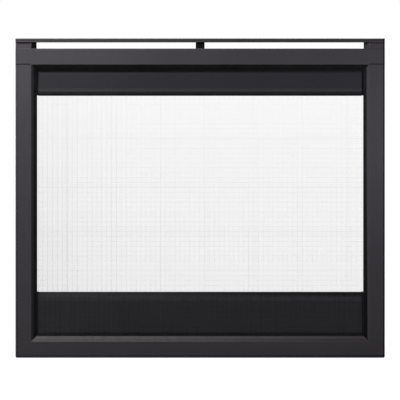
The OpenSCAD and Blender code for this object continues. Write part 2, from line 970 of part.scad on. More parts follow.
// Where the screws through the retainers stand, on all four sides
module retainer_screw_places() {
    both_sides()
        for (z = upright_screw_z) translate([-insert_x + retainer_middle, 0, z]) children();
    for (x = level_screw_x) {
        translate([x, 0, insert_foot + retainer_middle]) children();
        translate([x, 0, insert_top - retainer_middle]) children();
    }
}

module upright_retainer() {
    difference() {
        block([-mesh_x, mesh_back, mesh_foot + retainer_w + pass_gap],
            [-mesh_x + retainer_w, retainer_back, mesh_top - retainer_w - pass_gap]);
        for (z = upright_screw_z) screw_hole_to_front_layer(-insert_x + retainer_middle, z);
    }
}

module level_retainer(middle) {
    difference() {
        block([-mesh_x, mesh_back, middle - retainer_w / 2],
            [mesh_x, retainer_back, middle + retainer_w / 2]);
        for (x = level_screw_x) screw_hole_to_front_layer(x, middle);
    }
}

module left_retainer() {
    color("#232325") in_place() upright_retainer();
}

module right_retainer() {
    color("#232325") in_place() mirror([1, 0, 0]) upright_retainer();
}

module top_retainer() {
    color("#232325") in_place() level_retainer(insert_top - retainer_middle);
}

module bottom_retainer() {
    color("#232325") in_place() level_retainer(insert_foot + retainer_middle);
}

module retainer_screws() {
    length = retainer_back - seat_depth - 0.1;
    color("#8f9092") in_place()
        retainer_screw_places() translate([0, retainer_back, 0]) rotate([-90, 0, 0]) pan_screw(length);
}

// Cover panels

// A panel's side returns and the flanges that lie on the insert's back legs, which stop short of
// the corner plates
module panel_sides(face_low, face_high, low, high) {
    both_sides()
        difference() {
            union() {
                block([-panel_x, panel_face + insert_t / 2, face_low],
                    [-panel_x + insert_t, insert_back + insert_t, face_high]);
                block([-flange_step_x, insert_back, low],
                    [-panel_x + insert_t / 2, insert_back + insert_t, high]);
                block([-flange_x, insert_back, max(low, insert_foot + plate_clear)],
                    [-flange_step_x + 1, insert_back + insert_t, min(high, insert_top - plate_clear)]);
            }
            for (z = flange_screw_z) back_leg_hole(-flange_screw_x, z);
        }
}

module upper_panel() {
    color("#29292b") in_place() {
        across(2 * panel_x)
            sheet([
                [upper_panel_foot, panel_face + upper_lip_back, 0],
                [upper_panel_foot + upper_lip, panel_face, lip_r],
                [upper_panel_top, panel_face, fold_r],
                [upper_panel_top, insert_back, 0],
            ], insert_t);
        panel_sides(upper_panel_foot + upper_lip + 1, upper_panel_top - insert_t / 2,
            upper_panel_foot, upper_panel_top);
    }
}

module lower_panel() {
    color("#242426") in_place() {
        difference() {
            across(2 * panel_x)
                sheet([
                    [foot_flange_z, insert_back, 0],
                    [lower_panel_foot, insert_back, fold_r - insert_t],
                    [lower_panel_foot, panel_face, fold_r],
                    [lower_panel_top - lower_lip, panel_face, lip_r],
                    [lower_panel_top, panel_face + lower_lip_back, 0],
                ], insert_t);
            for (x = foot_screw_x) back_leg_hole(x, foot_screw_z);
        }
        panel_sides(lower_panel_foot + insert_t / 2, lower_panel_top - lower_lip - 1,
            insert_foot + back_leg + 1, lower_panel_top);
    }
}

module panel_screws() {
    length = 2 * insert_t + 1;
    color("#8f9092") in_place() {
        both_sides()
            for (z = flange_screw_z) front_screw(-flange_screw_x, z, insert_back + insert_t, length);
        for (x = foot_screw_x) front_screw(x, foot_screw_z, insert_back + insert_t, length);
    }
}

// Strike plates on the insert's top member, which the magnets hold

module strike_rivet_holes() {
    both_sides()
        for (step = [-0.5, 0.5])
            back_leg_hole(-catch_x + step * strike_rivet_step, strike_rivet_z);
}

module strike_plates() {
    color("#6f7072") in_place()
        difference() {
            both_sides()
                block([-catch_x - magnet_w / 2, insert_back, strike_foot],
                    [-catch_x + magnet_w / 2, insert_back + insert_t, catch_top]);
            strike_rivet_holes();
        }
}

module strike_rivets() {
    color("#8f9092") in_place()
        both_sides()
            for (step = [-0.5, 0.5])
                front_screw(-catch_x + step * strike_rivet_step, strike_rivet_z,
                    insert_back + insert_t, 2 * insert_t + 1);
}

left_stile();
right_stile();
top_rail();
bottom_rail();
header_strip();
centre_post();
upper_left_gusset();
upper_right_gusset();
lower_left_gusset();
lower_right_gusset();
gusset_nuts();
header_screws();
rail_nuts();
left_screen_rest();
right_screen_rest();
rest_nuts();
left_catch_holder();
right_catch_holder();
left_magnet();
right_magnet();
catch_nuts();
upper_left_bracket();
upper_right_bracket();
lower_left_bracket();
lower_right_bracket();
bracket_washers();
bracket_nuts();
insert_left_member();
insert_right_member();
insert_top_member();
insert_bottom_member();
corner_plates();
corner_plate_screws();
screen_mesh();
left_retainer();
right_retainer();
top_retainer();
bottom_retainer();
retainer_screws();
upper_panel();
lower_panel();
panel_screws();
strike_plates();
strike_rivets();
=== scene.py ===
import json
import math

import bmesh
import bpy
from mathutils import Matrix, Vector


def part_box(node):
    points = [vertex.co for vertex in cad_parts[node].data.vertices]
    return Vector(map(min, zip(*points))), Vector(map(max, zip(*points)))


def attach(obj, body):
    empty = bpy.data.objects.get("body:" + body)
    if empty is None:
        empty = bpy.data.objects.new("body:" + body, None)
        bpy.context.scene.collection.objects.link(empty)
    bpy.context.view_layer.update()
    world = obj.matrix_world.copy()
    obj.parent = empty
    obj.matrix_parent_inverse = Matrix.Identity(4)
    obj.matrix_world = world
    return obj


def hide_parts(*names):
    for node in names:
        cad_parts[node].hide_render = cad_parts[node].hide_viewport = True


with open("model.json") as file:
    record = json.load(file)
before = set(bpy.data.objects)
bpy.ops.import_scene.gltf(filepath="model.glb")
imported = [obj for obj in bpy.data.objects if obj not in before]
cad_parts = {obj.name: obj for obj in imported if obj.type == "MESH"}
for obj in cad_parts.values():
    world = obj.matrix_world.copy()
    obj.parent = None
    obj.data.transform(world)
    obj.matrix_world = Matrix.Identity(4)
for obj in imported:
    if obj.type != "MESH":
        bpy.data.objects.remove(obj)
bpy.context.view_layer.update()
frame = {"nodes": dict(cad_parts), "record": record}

mm = 0.001

# Sizes that the folded pieces share, in millimetres
sheetSizes = {
    "frameSheet": 1.5, "insertSheet": 1.2, "edgeChamfer": 0.3,
    "bendRadius": 3.0, "foldRadius": 2.4, "seatRadius": 1.7, "seatLead": 1.4, "cornerRadius": 5.0,
    "stileFace": 43.0, "railFace": 45.0, "sideDepth": 48.0,
    "bevel": (8.5, 7.0), "innerBevel": (8.0, 10.0), "seat": 29.0,
    "faceLap": 2.0,      # a bevel strip starts this far before its face's edge
    "faceBand": 2.2,     # what lies shallower than this belongs to a face
}
frameSheet, insertSheet, foldRadius, stileFace, railFace, sideDepth, faceLap = (sheetSizes[name] for name in (
    "frameSheet", "insertSheet", "foldRadius", "stileFace", "railFace", "sideDepth", "faceLap"))


def boxMm(node):
    low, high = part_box(node)
    return low / mm, high / mm


stripHigh = boxMm("header_strip")[1]
insertLow, insertHigh = boxMm("insert_left_member")[0], boxMm("insert_right_member")[1]
halfWidth = stripHigh.x
stripUnder = stripHigh.z - frameSheet
faceY = stripHigh.y - sideDepth     # the stile faces stand at depth 0
bevelsWide, seatDepth = (sum(pair) for pair in zip(sheetSizes["bevel"], sheetSizes["innerBevel"]))
faceEdgeX = halfWidth - stileFace
openingX = faceEdgeX - bevelsWide
openingFoot = railFace + bevelsWide
topRailTop = boxMm("top_rail")[1].z
topRailFoot = topRailTop - railFace
openingTop = topRailFoot - bevelsWide
print("sizes: opening", round(2 * openingX, 1), "x", round(openingTop - openingFoot, 1), "mm")


# Node helpers. Inputs take plain values and other nodes' outputs alike, and an output leads to its own tree

def treeOf(values):
    return next(value.id_data for value in values if isinstance(value, bpy.types.NodeSocket))


def addNode(kind, inputs=None, tree=None, **settings):
    inputs = inputs or {}
    tree = tree or treeOf(inputs.values())
    node = tree.nodes.new(kind)
    for key, value in settings.items():
        setattr(node, key, value)
    for key, value in inputs.items():
        if isinstance(value, bpy.types.NodeSocket):
            tree.links.new(value, node.inputs[key])
        else:
            node.inputs[key].default_value = value
    return node


def mathNode(operation, *values):
    return addNode("ShaderNodeMath", dict(enumerate(values)), operation=operation).outputs[0]


def chained(operation):
    # a function of two or more values, which are taken one after the other
    def run(*values, clamp=False):
        result = values[0]
        for value in values[1:]:
            result = mathNode(operation, result, value)
        result.node.use_clamp = clamp
        return result
    return run


times, plus, minus, divided, largest = (chained(operation) for operation in (
    "MULTIPLY", "ADD", "SUBTRACT", "DIVIDE", "MAXIMUM"))


def mixColor(factor, first, second):
    return addNode("ShaderNodeMix", {0: factor, 6: first, 7: second}, data_type="RGBA").outputs[2]


def mixNumber(factor, first, second):
    return addNode("ShaderNodeMix", {0: factor, 2: first, 3: second}, data_type="FLOAT").outputs[0]


def rampNode(value, low, high, start=0.0, end=1.0, smooth=False):
    return addNode("ShaderNodeMapRange", {0: value, 1: low, 2: high, 3: start, 4: end},
                   interpolation_type="SMOOTHSTEP" if smooth else "LINEAR").outputs[0]


def noiseNode(vector, scale, detail, roughness=0.5, distortion=0.0):
    return addNode("ShaderNodeTexNoise", {
        "Vector": vector, "Scale": scale, "Detail": detail, "Roughness": roughness, "Distortion": distortion,
    }).outputs["Fac"]


def splitNode(vector):
    return list(addNode("ShaderNodeSeparateXYZ", {0: vector}).outputs)


def facingUp(place):
    return splitNode(addNode("ShaderNodeNewGeometry", tree=place.id_data).outputs["Normal"])[2]


def addSockets(tree, values, way="INPUT"):
    # a value gives a socket's kind and default, and a word its kind alone
    for label, value in values.items():
        kind = value if isinstance(value, str) else {float: "Float", int: "Int", tuple: "Vector"}[type(value)]
        socket = tree.interface.new_socket(label, in_out=way, socket_type="NodeSocket" + kind)
        if kind != value:
            socket.default_value = value


def newGroup(name, numbers):
    # a shader group that takes a vector and named numbers
    group = bpy.data.node_groups.new(name, "ShaderNodeTree")
    addSockets(group, {"Vector": "Vector", **numbers})
    return group.nodes.new("NodeGroupInput").outputs


def putOut(values):
    group = treeOf(values.values())
    addSockets(group, dict.fromkeys(values, "Float"), "OUTPUT")
    addNode("NodeGroupOutput", values)
    return group


def buildCoatGrain():
    # fine orange peel for the bump, and slow cloudy drift of the tone
    given = newGroup("coatGrain", {
        "Peel Scale": 900.0, "Cloud Scale": 5.0, "Speck Scale": 2600.0, "Speck Height": 0.35})
    peel = noiseNode(given["Vector"], given["Peel Scale"], detail=2.0, roughness=0.45)
    speck = noiseNode(given["Vector"], given["Speck Scale"], detail=1.0)
    cloud = noiseNode(given["Vector"], given["Cloud Scale"], detail=4.0, roughness=0.55, distortion=0.3)
    height = plus(peel, times(speck, given["Speck Height"]))
    return putOut({"Height": height, "Cloud": rampNode(cloud, 0.3, 0.7), "Speck": speck})


def buildDustAndPaintedLight():
    # dust and painted light on what faces up: a paler tone, partly settled dust and partly painted light from above,
    # broken up by noise and stronger towards the left
    given = newGroup("dustAndPaintedLight", {"Amount": 0.3, "Scale": 60.0})
    upward = rampNode(facingUp(given["Vector"]), 0.3, 0.85, smooth=True)
    noise = noiseNode(given["Vector"], given["Scale"], detail=5.0, roughness=0.65)
    patch = rampNode(noise, 0.25, 0.75, start=0.24, end=0.66)
    lean = rampNode(splitNode(given["Vector"])[0], -0.45, 0.45, start=1.9, end=0.0)
    return putOut({"Mask": times(upward, times(patch, lean), given["Amount"], clamp=True)})


def buildBendWear():
    # rubbed bends: the pieces carry a wear value that is 1 on their bends
    given = newGroup("bendWear", {"Amount": 0.4, "Scale": 45.0})
    worn = addNode("ShaderNodeAttribute", tree=given["Vector"].id_data, attribute_name="wear").outputs["Fac"]
    noise = noiseNode(given["Vector"], given["Scale"], detail=6.0, roughness=0.7)
    patch = rampNode(noise, 0.42, 0.66)
    return putOut({"Mask": times(worn, patch, given["Amount"], clamp=True)})


def buildSpangle():
    # crystals of hot dip zinc, with a fine brushed drift over them
    given = newGroup("zincSpangle", {"Crystal Scale": 120.0, "Contrast": 0.5})
    crystals = addNode("ShaderNodeTexVoronoi", {
        "Vector": given["Vector"], "Scale": given["Crystal Scale"], "Randomness": 1.0})
    crystal = addNode("ShaderNodeSeparateColor", {0: crystals.outputs["Color"]}).outputs[0]
    haze = noiseNode(given["Vector"], scale=30.0, detail=6.0, roughness=0.6)
    scratch = noiseNode(given["Vector"], scale=1400.0, detail=2.0)
    return putOut({"Tone": mixNumber(given["Contrast"], haze, crystal), "Height": scratch})


onFront = ("y", -1.0, -0.0212)
facesDown = ("up", 0.2, 0.5, 1.0, 0.0)
cornerBlock = [("aside", 0.4775, 1.0), ("y", -0.0242, -0.0222)]
# each mark is painted shade: a shadow or a shaded facet painted into the coat
paintedShadeMarks = {
    # mark: the product of its conditions. Two numbers are a band along an axis, in metres, four are a ramp
    # with its values at both ends, True makes a ramp smooth, and a number alone is the mark's strength
    "dip": [("aside", -1.0, 0.472), ("z", 0.0434, 0.8284), facesDown,
            ("sunk", -0.0004, 0.0006, 0.0, 1.0, True), ("lowRight", 0.0, 1.0, 1.0, 1.14)],
    "leftFacet": [("x", -0.02, 0.02, 1.0, 0.0), ("aside", 0.465, 0.4772), ("z", 0.05, 0.8284), facesDown,
                  ("y", -0.0217, -0.0203, 0.0, 1.0, True), ("y", -0.0205, -0.0160, 0.60, 0.76)],
    "footFacet": [("z", 0.0440, 0.0540), ("y", -0.0222, 1.0), ("x", 0.0, 0.36, 0.0, 0.33)],
    "slots": [("aside", -1.0, 0.4795), ("z", 0.8717, 0.8913), ("y", -0.0205, 1.0), ("x", 0.1, 0.2, 1.2, 0.25)],
    "blockLip": [*cornerBlock, ("z", 0.8843, 0.8905), ("x", -0.3, 0.3, 0.85, 0.35)],
    "blockSeam": [*cornerBlock, ("z", 0.8251, 0.8302), 0.48],
    "stripFold": [onFront, ("z", 0.8931, 0.8959), 0.52],
    "footFold": [onFront, ("z", 0.0042, 0.0071), ("x", -0.5, 0.5, 0.44, 0.85)],
    "footEdge": [onFront, ("z", 0.0012, 0.0042), 0.3],
    "rightFold": [onFront, ("x", 0.5159, 0.5189), 1.05],
    "leftFold": [onFront, ("x", -0.5170, -0.5140), ("z", 0.1, 0.85, 0.42, 0.17)],
}


def buildPaintedShade():
    # painted shade: the coat is painted dull black where the opening dips towards the mesh,
    # under the top bevel, in the header slots, in the seams of the corner blocks and along the outer folds, where
    # shade and shadow fall
    given = newGroup("paintedShadeGroup", {"Amount": 0.94, "Start": -0.0158, "Low Right Lead": 0.0023})
    x, y, z = splitNode(given["Vector"])
    up = facingUp(given["Vector"])
    under = rampNode(up, -0.2, -0.5, start=0.0, end=0.0095)
    lowRight = times(rampNode(x, 0.44, 0.46), rampNode(z, 0.5, 0.1))
    sunk = plus(minus(y, given["Start"]), under, times(lowRight, given["Low Right Lead"]))
    axes = {"x": x, "y": y, "z": z, "aside": mathNode("ABSOLUTE", x), "up": up, "sunk": sunk,
            "lowRight": lowRight}
    marks = []
    for conditions in paintedShadeMarks.values():
        factors = []
        for condition in conditions:
            if isinstance(condition, float):
                factors.append(condition)
                continue
            axis, *numbers = condition
            if len(numbers) == 2:
                factors += [mathNode("GREATER_THAN", axes[axis], numbers[0]),
                            mathNode("LESS_THAN", axes[axis], numbers[1])]
            else:
                factors.append(rampNode(axes[axis], *numbers))
        marks.append(times(*factors))
    noise = noiseNode(given["Vector"], scale=35.0, detail=5.0, roughness=0.6)
    patch = rampNode(noise, 0.3, 0.7, start=0.85, end=1.0)
    return putOut({"Mask": times(largest(*marks), patch, given["Amount"], clamp=True)})


def buildLipPaintedShade():
    # painted shade on the cover panels' lips, darker than their faces: the upper lip towards its edge, the lower lip
    # towards the right
    given = newGroup("lipPaintedShade", {
        "Upper Edge": 0.7402, "Lower Edge": 0.1863, "Upper Reach": 0.0125, "Lowest": -1.0, "Highest": -0.1})
    x, y, z = splitNode(given["Vector"])
    above = divided(minus(z, given["Upper Edge"]), given["Upper Reach"])
    upper = times(rampNode(above, 0.2, 1.0, start=1.0, end=0.0),
                  mathNode("GREATER_THAN", above, given["Lowest"]))
    below = minus(given["Lower Edge"], z)
    lower = times(rampNode(below, 0.010, 0.017, start=1.0, end=0.0, smooth=True),
                  rampNode(x, -0.36, 0.42), mathNode("GREATER_THAN", below, given["Highest"]))
    # a painted highlight: a paler line where the upper lip starts to roll
    paintedHighlight = times(rampNode(above, 0.87, 1.05, smooth=True),
                rampNode(above, 1.3, 1.6, start=1.0, end=0.0, smooth=True))
    return putOut({"Mask": largest(upper, lower, clamp=True), "Painted Highlight": paintedHighlight})


coatGrain, dustAndPaintedLight, bendWear, zincSpangle = buildCoatGrain(), buildDustAndPaintedLight(), buildBendWear(), buildSpangle()
paintedShadeGroup, lipPaintedShade = buildPaintedShade(), buildLipPaintedShade()


def startMaterial(name):
    material = bpy.data.materials.new(name)
    material.use_nodes = True
    shader, place = material.node_tree.nodes["Principled BSDF"], objectPlace(material.node_tree)
    return material, shader, place


def objectPlace(tree):
    return addNode("ShaderNodeTexCoord", tree=tree).outputs["Object"]


def placeGroup(group, place, numbers=None):
    return addNode("ShaderNodeGroup", {"Vector": place, **(numbers or {})}, node_tree=group).outputs


def feedShader(shader, inputs, height, strength, distance):
    bump = addNode("ShaderNodeBump", {"Strength": strength, "Distance": distance, "Height": height})
    for label, value in dict(inputs, Normal=bump.outputs[0]).items():
        value.id_data.links.new(value, shader.inputs[label])


def coatedSteel(name, look):
    # powder coat: a dark base that drifts, a fine peel, dust with painted light on ledges, rubbed bends, and painted
    # shade with a painted highlight where the look asks for them
    material, shader, place = startMaterial(name)
    shader.inputs["Specular IOR Level"].default_value = look["gloss"]
    grain = placeGroup(coatGrain, place, {"Peel Scale": look["peelScale"]})
    dustAndLight = placeGroup(dustAndPaintedLight, place, {"Amount": look["dustAndLight"]})["Mask"]
    worn = placeGroup(bendWear, place, {"Amount": look["wear"]})["Mask"]
    drift = plus(times(grain["Cloud"], look["cloudy"]), times(grain["Speck"], 1 - look["cloudy"]))
    color = mixColor(drift, look["dark"], look["light"])
    color = mixColor(worn, color, look["wearAndHighlight"])
    color = mixColor(dustAndLight, color, look["dustAndLightColor"])
    rough = plus(rampNode(grain["Cloud"], 0.0, 1.0, *look["roughness"]),
                 times(dustAndLight, look["dustAndLightRough"]), clamp=True)
    # painted shade, and on the panels a painted highlight line, mixed into the colour and roughness
    if look["paintedShade"]:
        marks = placeGroup(look["paintedShade"], place)
        if "paintedHighlight" in look:
            color = mixColor(times(marks["Painted Highlight"], look["paintedHighlight"]), color, look["wearAndHighlight"])
        color = mixColor(marks["Mask"], color, look["paintedShadeColor"])
        rough = plus(rough, times(marks["Mask"], look["paintedShadeRough"]), clamp=True)
    feedShader(shader, {"Base Color": color, "Roughness": rough}, grain["Height"], look["bump"], look["peel"])
    return material


def zincSteel(name, look):
    material, shader, place = startMaterial(name)
    zinc = placeGroup(zincSpangle, place, {"Crystal Scale": look["crystalScale"], "Contrast": look["contrast"]})
    # dust with painted light on what faces up
    dustAndLight = placeGroup(dustAndPaintedLight, place, {"Amount": look["dustAndLight"]})["Mask"]
    color = mixColor(dustAndLight, mixColor(zinc["Tone"], look["dark"], look["light"]), look["dustAndLightColor"])
    feedShader(shader, {
        "Base Color": color, "Roughness": rampNode(zinc["Tone"], 0.0, 1.0, *look["roughness"]),
        "Metallic": minus(1.0, times(dustAndLight, look["dustAndLightDull"]))}, zinc["Height"], look["bump"], look["peel"])
    return material


def ferriteBlock(name, look):
    # pressed ferrite: near black, with pale specks and small chips in its skin
    material, shader, place = startMaterial(name)
    grain = placeGroup(coatGrain, place, {"Peel Scale": look["peelScale"], "Speck Scale": look["speckScale"]})
    speck = rampNode(grain["Speck"], 0.55, 0.75)
    feedShader(shader, {
        "Base Color": mixColor(speck, look["dark"], look["light"]),
        "Roughness": rampNode(grain["Cloud"], 0.0, 1.0, *look["roughness"])},
        grain["Height"], look["bump"], look["peel"])
    return material


# the pale colour of dust and of painted light on up-facing surfaces
dustAndLightColor = (0.13, 0.125, 0.12, 1.0)
coatLook = {
    "dark": (0.0412, 0.0387, 0.0438, 1), "light": (0.0491, 0.0461, 0.0522, 1), "cloudy": 0.75,
    "wearAndHighlight": (0.10, 0.098, 0.098, 1), "wear": 0.35, "dustAndLightColor": dustAndLightColor, "dustAndLight": 0.82, "dustAndLightRough": 0.3,
    "peelScale": 900.0, "bump": 0.10, "peel": 0.0002, "roughness": (0.46, 0.56), "gloss": 0.07,
    # painted shade: its marks, colour and roughness
    "paintedShade": paintedShadeGroup, "paintedShadeColor": (0.0038, 0.0036, 0.0038, 1), "paintedShadeRough": 0.4,
}
insertLook = dict(coatLook, dark=(0.0085, 0.0082, 0.0087, 1), light=(0.0125, 0.0120, 0.0127, 1),
                  roughness=(0.55, 0.66), wear=0.2, dustAndLight=0.08, paintedShade=None)
# the panels carry painted shade on their lips and a painted highlight above the upper lip
panelLook = dict(coatLook, dark=(0.0202, 0.0193, 0.0236, 1), light=(0.0233, 0.0223, 0.0272, 1),
                 roughness=(0.58, 0.7), wear=0.1, dustAndLight=0.08, peelScale=1300.0, paintedShade=lipPaintedShade, paintedHighlight=0.16)
# the wire's colour is lighter than the frame's coat: a painted sheen for the glints on the wires
wireLook = dict(coatLook, dark=(0.058, 0.057, 0.059, 1), light=(0.078, 0.077, 0.079, 1),
                roughness=(0.5, 0.62), wear=0.0, dustAndLight=0.0, bump=0.0, paintedShade=None)
sheetZincLook = {
    "dark": (0.25, 0.257, 0.265, 1), "light": (0.43, 0.44, 0.45, 1), "dustAndLightColor": dustAndLightColor, "dustAndLight": 0.35,
    "dustAndLightDull": 0.8, "crystalScale": 140.0, "contrast": 0.65, "roughness": (0.34, 0.55), "bump": 0.06, "peel": 0.0001,
}
platedLook = dict(sheetZincLook, dark=(0.36, 0.36, 0.355, 1), light=(0.50, 0.50, 0.49, 1), contrast=0.15,
                  dustAndLight=0.25, roughness=(0.26, 0.40), crystalScale=300.0)
ferriteLook = {
    "dark": (0.018, 0.017, 0.016, 1), "light": (0.05, 0.048, 0.045, 1), "peelScale": 350.0, "speckScale": 1800.0,
    "roughness": (0.6, 0.8), "bump": 0.35, "peel": 0.0003,
}
materials = {
    "frame_coating": coatedSteel("satin_black_coat", coatLook),
    "insert_coating": coatedSteel("stove_black_coat", insertLook),
    "panel_coating": coatedSteel("matte_black_panel_coat", panelLook),
    "mesh_wire": coatedSteel("black_wire", wireLook),
    "galvanised_sheet": zincSteel("galvanised_sheet", sheetZincLook),
    "bracket_zinc": zincSteel("zinc_plated_bracket", dict(platedLook, crystalScale=90.0)),
    "zinc_fasteners": zincSteel("zinc_plated_fasteners", platedLook),
    "ferrite": ferriteBlock("ferrite", ferriteLook),
}
for subpart in frame["record"]["subparts"]:
    part = frame["nodes"][subpart["node"]]
    if not part.material_slots:
        part.data.materials.append(None)
    for holder in part.material_slots:
        holder.material = materials[subpart["material_slot"]]
print("materials:", len(materials))


# Bent sheet: a section of (across, depth, outside radius) corners, drawn out between two ends

def foldPath(corners, steps, hold):
    points, bent = [], []
    for index, (across, depth, radius) in enumerate(corners):
        here = Vector((across, depth))
        if radius == 0 or index in (0, len(corners) - 1):
            points.append(here)
            bent.append(0.0)
            continue
        back = (Vector(corners[index - 1][:2]) - here).normalized()
        ahead = (Vector(corners[index + 1][:2]) - here).normalized()
        half = back.angle(ahead) / 2
        centre = here + (back + ahead).normalized() * radius / math.sin(half)
        start, finish = (here + way * radius / math.tan(half) for way in (back, ahead))
        first, last = start - centre, finish - centre
        sweep = math.atan2(first.x * last.y - first.y * last.x, first.dot(last))
        points.append(start + back * hold)     # holding points keep the flats flat under smooth shading
        for step in range(steps + 1):
            turn = sweep * step / steps
            points.append(centre + Vector((first.x * math.cos(turn) - first.y * math.sin(turn),
                                           first.x * math.sin(turn) + first.y * math.cos(turn))))
        points.append(finish + ahead * hold)
        bent += [0.0] + [1.0] * (steps + 1) + [0.0]
    return points, bent


def otherSide(points, thickness):
    normals = []
    for first, second in zip(points, points[1:]):
        run = (second - first).normalized()
        normals.append(Vector((-run.y, run.x)))
    inner = []
    for index, point in enumerate(points):
        before, after = normals[max(index - 1, 0)], normals[min(index, len(normals) - 1)]
        inner.append(point + thickness * (before + after) / (1 + before.dot(after)))
    return inner


def bentSheet(corners, thickness, place, ends, butts=(), steps=8, hold=0.35):
    # butts names the edges that meet another sheet flush: start, finish, low or high
    outer, bent = foldPath(corners, steps, hold)
    skins = (outer, otherSide(outer, thickness))
    shell = bmesh.new()
    wear = shell.verts.layers.float.new("wear")
    rings = []
    for end in ends:
        rings.append([])
        for skin in skins:
            row = []
            for point, value in zip(skin, bent):
                along = end(point.x, point.y) if callable(end) else end
                row.append(shell.verts.new(Vector(place(point.x, point.y, along)) * mm))
                row[-1][wear] = value
            rings[-1].append(row)
    spans, last = list(zip(rings, rings[1:])), len(outer) - 1
    for lower, upper in spans:
        for index in range(last):
            shell.faces.new((lower[0][index], lower[0][index + 1], upper[0][index + 1], upper[0][index]))
            shell.faces.new((lower[1][index + 1], lower[1][index], upper[1][index], upper[1][index + 1]))
        for index in (0, last):
            shell.faces.new((lower[0][index], upper[0][index], upper[1][index], lower[1][index]))
    soft = []
    for label, ring in (("low", rings[0]), ("high", rings[-1])):
        for index in range(last):
            shell.faces.new((ring[0][index], ring[1][index], ring[1][index + 1], ring[0][index + 1]))
            if label not in butts:
                soft += [(row[index], row[index + 1]) for row in ring]
    for label, index in (("start", 0), ("finish", last)):
        if label not in butts:
            soft += [(lower[skin][index], upper[skin][index]) for lower, upper in spans for skin in (0, 1)]
    return finishShell(shell, soft)


def flatPlate(outline, front, back, butts=()):
    # butts holds the numbers of the outline's edges that meet another sheet flush
    shell = bmesh.new()
    shell.verts.layers.float.new("wear")
    rows = [[shell.verts.new(Vector((x, faceY + depth, z)) * mm) for x, z in outline] for depth in (front, back)]
    shell.faces.new(rows[0])
    shell.faces.new(list(reversed(rows[1])))
    soft = []
    for index in range(len(outline)):
        after = (index + 1) % len(outline)
        shell.faces.new((rows[0][after], rows[0][index], rows[1][index], rows[1][after]))
        if index not in butts:
            soft += [(row[index], row[after]) for row in rows]
    return finishShell(shell, soft)


def finishShell(shell, soft):
    bmesh.ops.recalc_face_normals(shell, faces=shell.faces)
    edges = {edge for edge in (shell.edges.get(pair) for pair in soft) if edge}
    if edges:
        bmesh.ops.bevel(shell, geom=list(edges), offset=sheetSizes["edgeChamfer"] * mm, offset_type="OFFSET",
                        segments=1, profile=0.5, affect="EDGES", clamp_overlap=True)
    wear = shell.verts.layers.float["wear"]
    shell.verts.index_update()
    result = ([vertex.co.copy() for vertex in shell.verts],
              [[vertex.index for vertex in face.verts] for face in shell.faces],
              [vertex[wear] for vertex in shell.verts])
    shell.free()
    return result


def makePiece(name, shells, slotName, body, replaced=()):
    vertices, faces, wear = [], [], []
    for points, polygons, values in shells:
        base = len(vertices)
        vertices += points
        faces += [[base + index for index in polygon] for polygon in polygons]
        wear += values
    mesh = bpy.data.meshes.new(name)
    mesh.from_pydata(vertices, [], faces)
    mesh.attributes.new("wear", "FLOAT", "POINT").data.foreach_set("value", wear)
    mesh.polygons.foreach_set("use_smooth", [True] * len(mesh.polygons))
    mesh.set_sharp_from_angle(angle=math.radians(28))
    return ridePiece(addObject("fine_" + name, mesh), slotName, body, replaced)


def addObject(name, data):
    made = bpy.data.objects.new(name, data)
    bpy.context.scene.collection.objects.link(made)
    return made


def ridePiece(piece, slotName, body, replaced=()):
    if not piece.data.materials:
        piece.data.materials.append(materials[slotName])
    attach(piece, body)
    if replaced:
        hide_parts(*replaced)
    return piece


# Ways to lay a section out: along the width from a height, or upwards from a side

def alongX(start, way=-1):
    return lambda across, depth, x: (x, faceY + depth, start + way * across)


def alongZ(start, side):
    return lambda across, depth, z: (side * (start - across), faceY + depth, z)


def mitredEnds(low, high):
    return lambda across, depth: low + across, lambda across, depth: high - across


def fourSides(low, high):
    # left, right, foot and top of a mitred frame
    sides = [(alongZ(high.x, side), mitredEnds(low.z, high.z)) for side in (-1, 1)]
    return sides + [(alongX(start, way), mitredEnds(-high.x, high.x)) for start, way in ((low.z, 1), (high.z, -1))]


def onFace(depth):
    return depth < sheetSizes["faceBand"]


def bevelCorners(edge, face, seat=True):
    # the two facets beside a face's edge, and the seat behind them
    wide, deep = sheetSizes["bevel"]
    foot = edge + bevelsWide
    corners = [(edge - faceLap, face, 0), (edge, face, foldRadius), (edge + wide, deep, foldRadius)]
    if not seat:
        return corners + [(foot, seatDepth, 0)]
    return corners + [(foot + sheetSizes["seatLead"], seatDepth, sheetSizes["seatRadius"]),
                      (foot - sheetSizes["seat"], seatDepth, 0)]


def bevelStrip(face, depth, place, ends, seat=True):
    return bentSheet(bevelCorners(face, depth, seat), frameSheet, place, ends, ("start",))


def makeFramePiece(name, shells):
    return makePiece(name, shells, "frame_coating", "front_frame", (name,))


def makeStile(name, side):
    across = stileFace + bevelsWide
    place = alongZ(halfWidth, side)

    def mitreLow(here, depth):
        height = openingFoot - (across - here)
        return max(height, railFace) if onFace(depth) else height

    def mitreHigh(here, depth):
        height = openingTop + (across - here)
        return min(height, topRailFoot) if onFace(depth) else height

    wall = [(0, sideDepth, 0), (0, 0, sheetSizes["bendRadius"]), (stileFace - faceLap, 0, 0)]
    return makeFramePiece(name, [
        bentSheet(wall, frameSheet, place, (railFace, stripUnder), ("finish",)),
        bevelStrip(stileFace, 0, place, (mitreLow, mitreHigh)),
        bevelStrip(stileFace, 0, place, (insertHigh.z + frameSheet, stripUnder), seat=False)])


def railMitre(side):
    def end(across, depth):
        reach = openingX + railFace + bevelsWide - across
        return side * (min(reach, faceEdgeX) if onFace(depth) else reach)
    return end


topRailDetails = {"return": 28.0, "returnReach": openingX - 0.3}


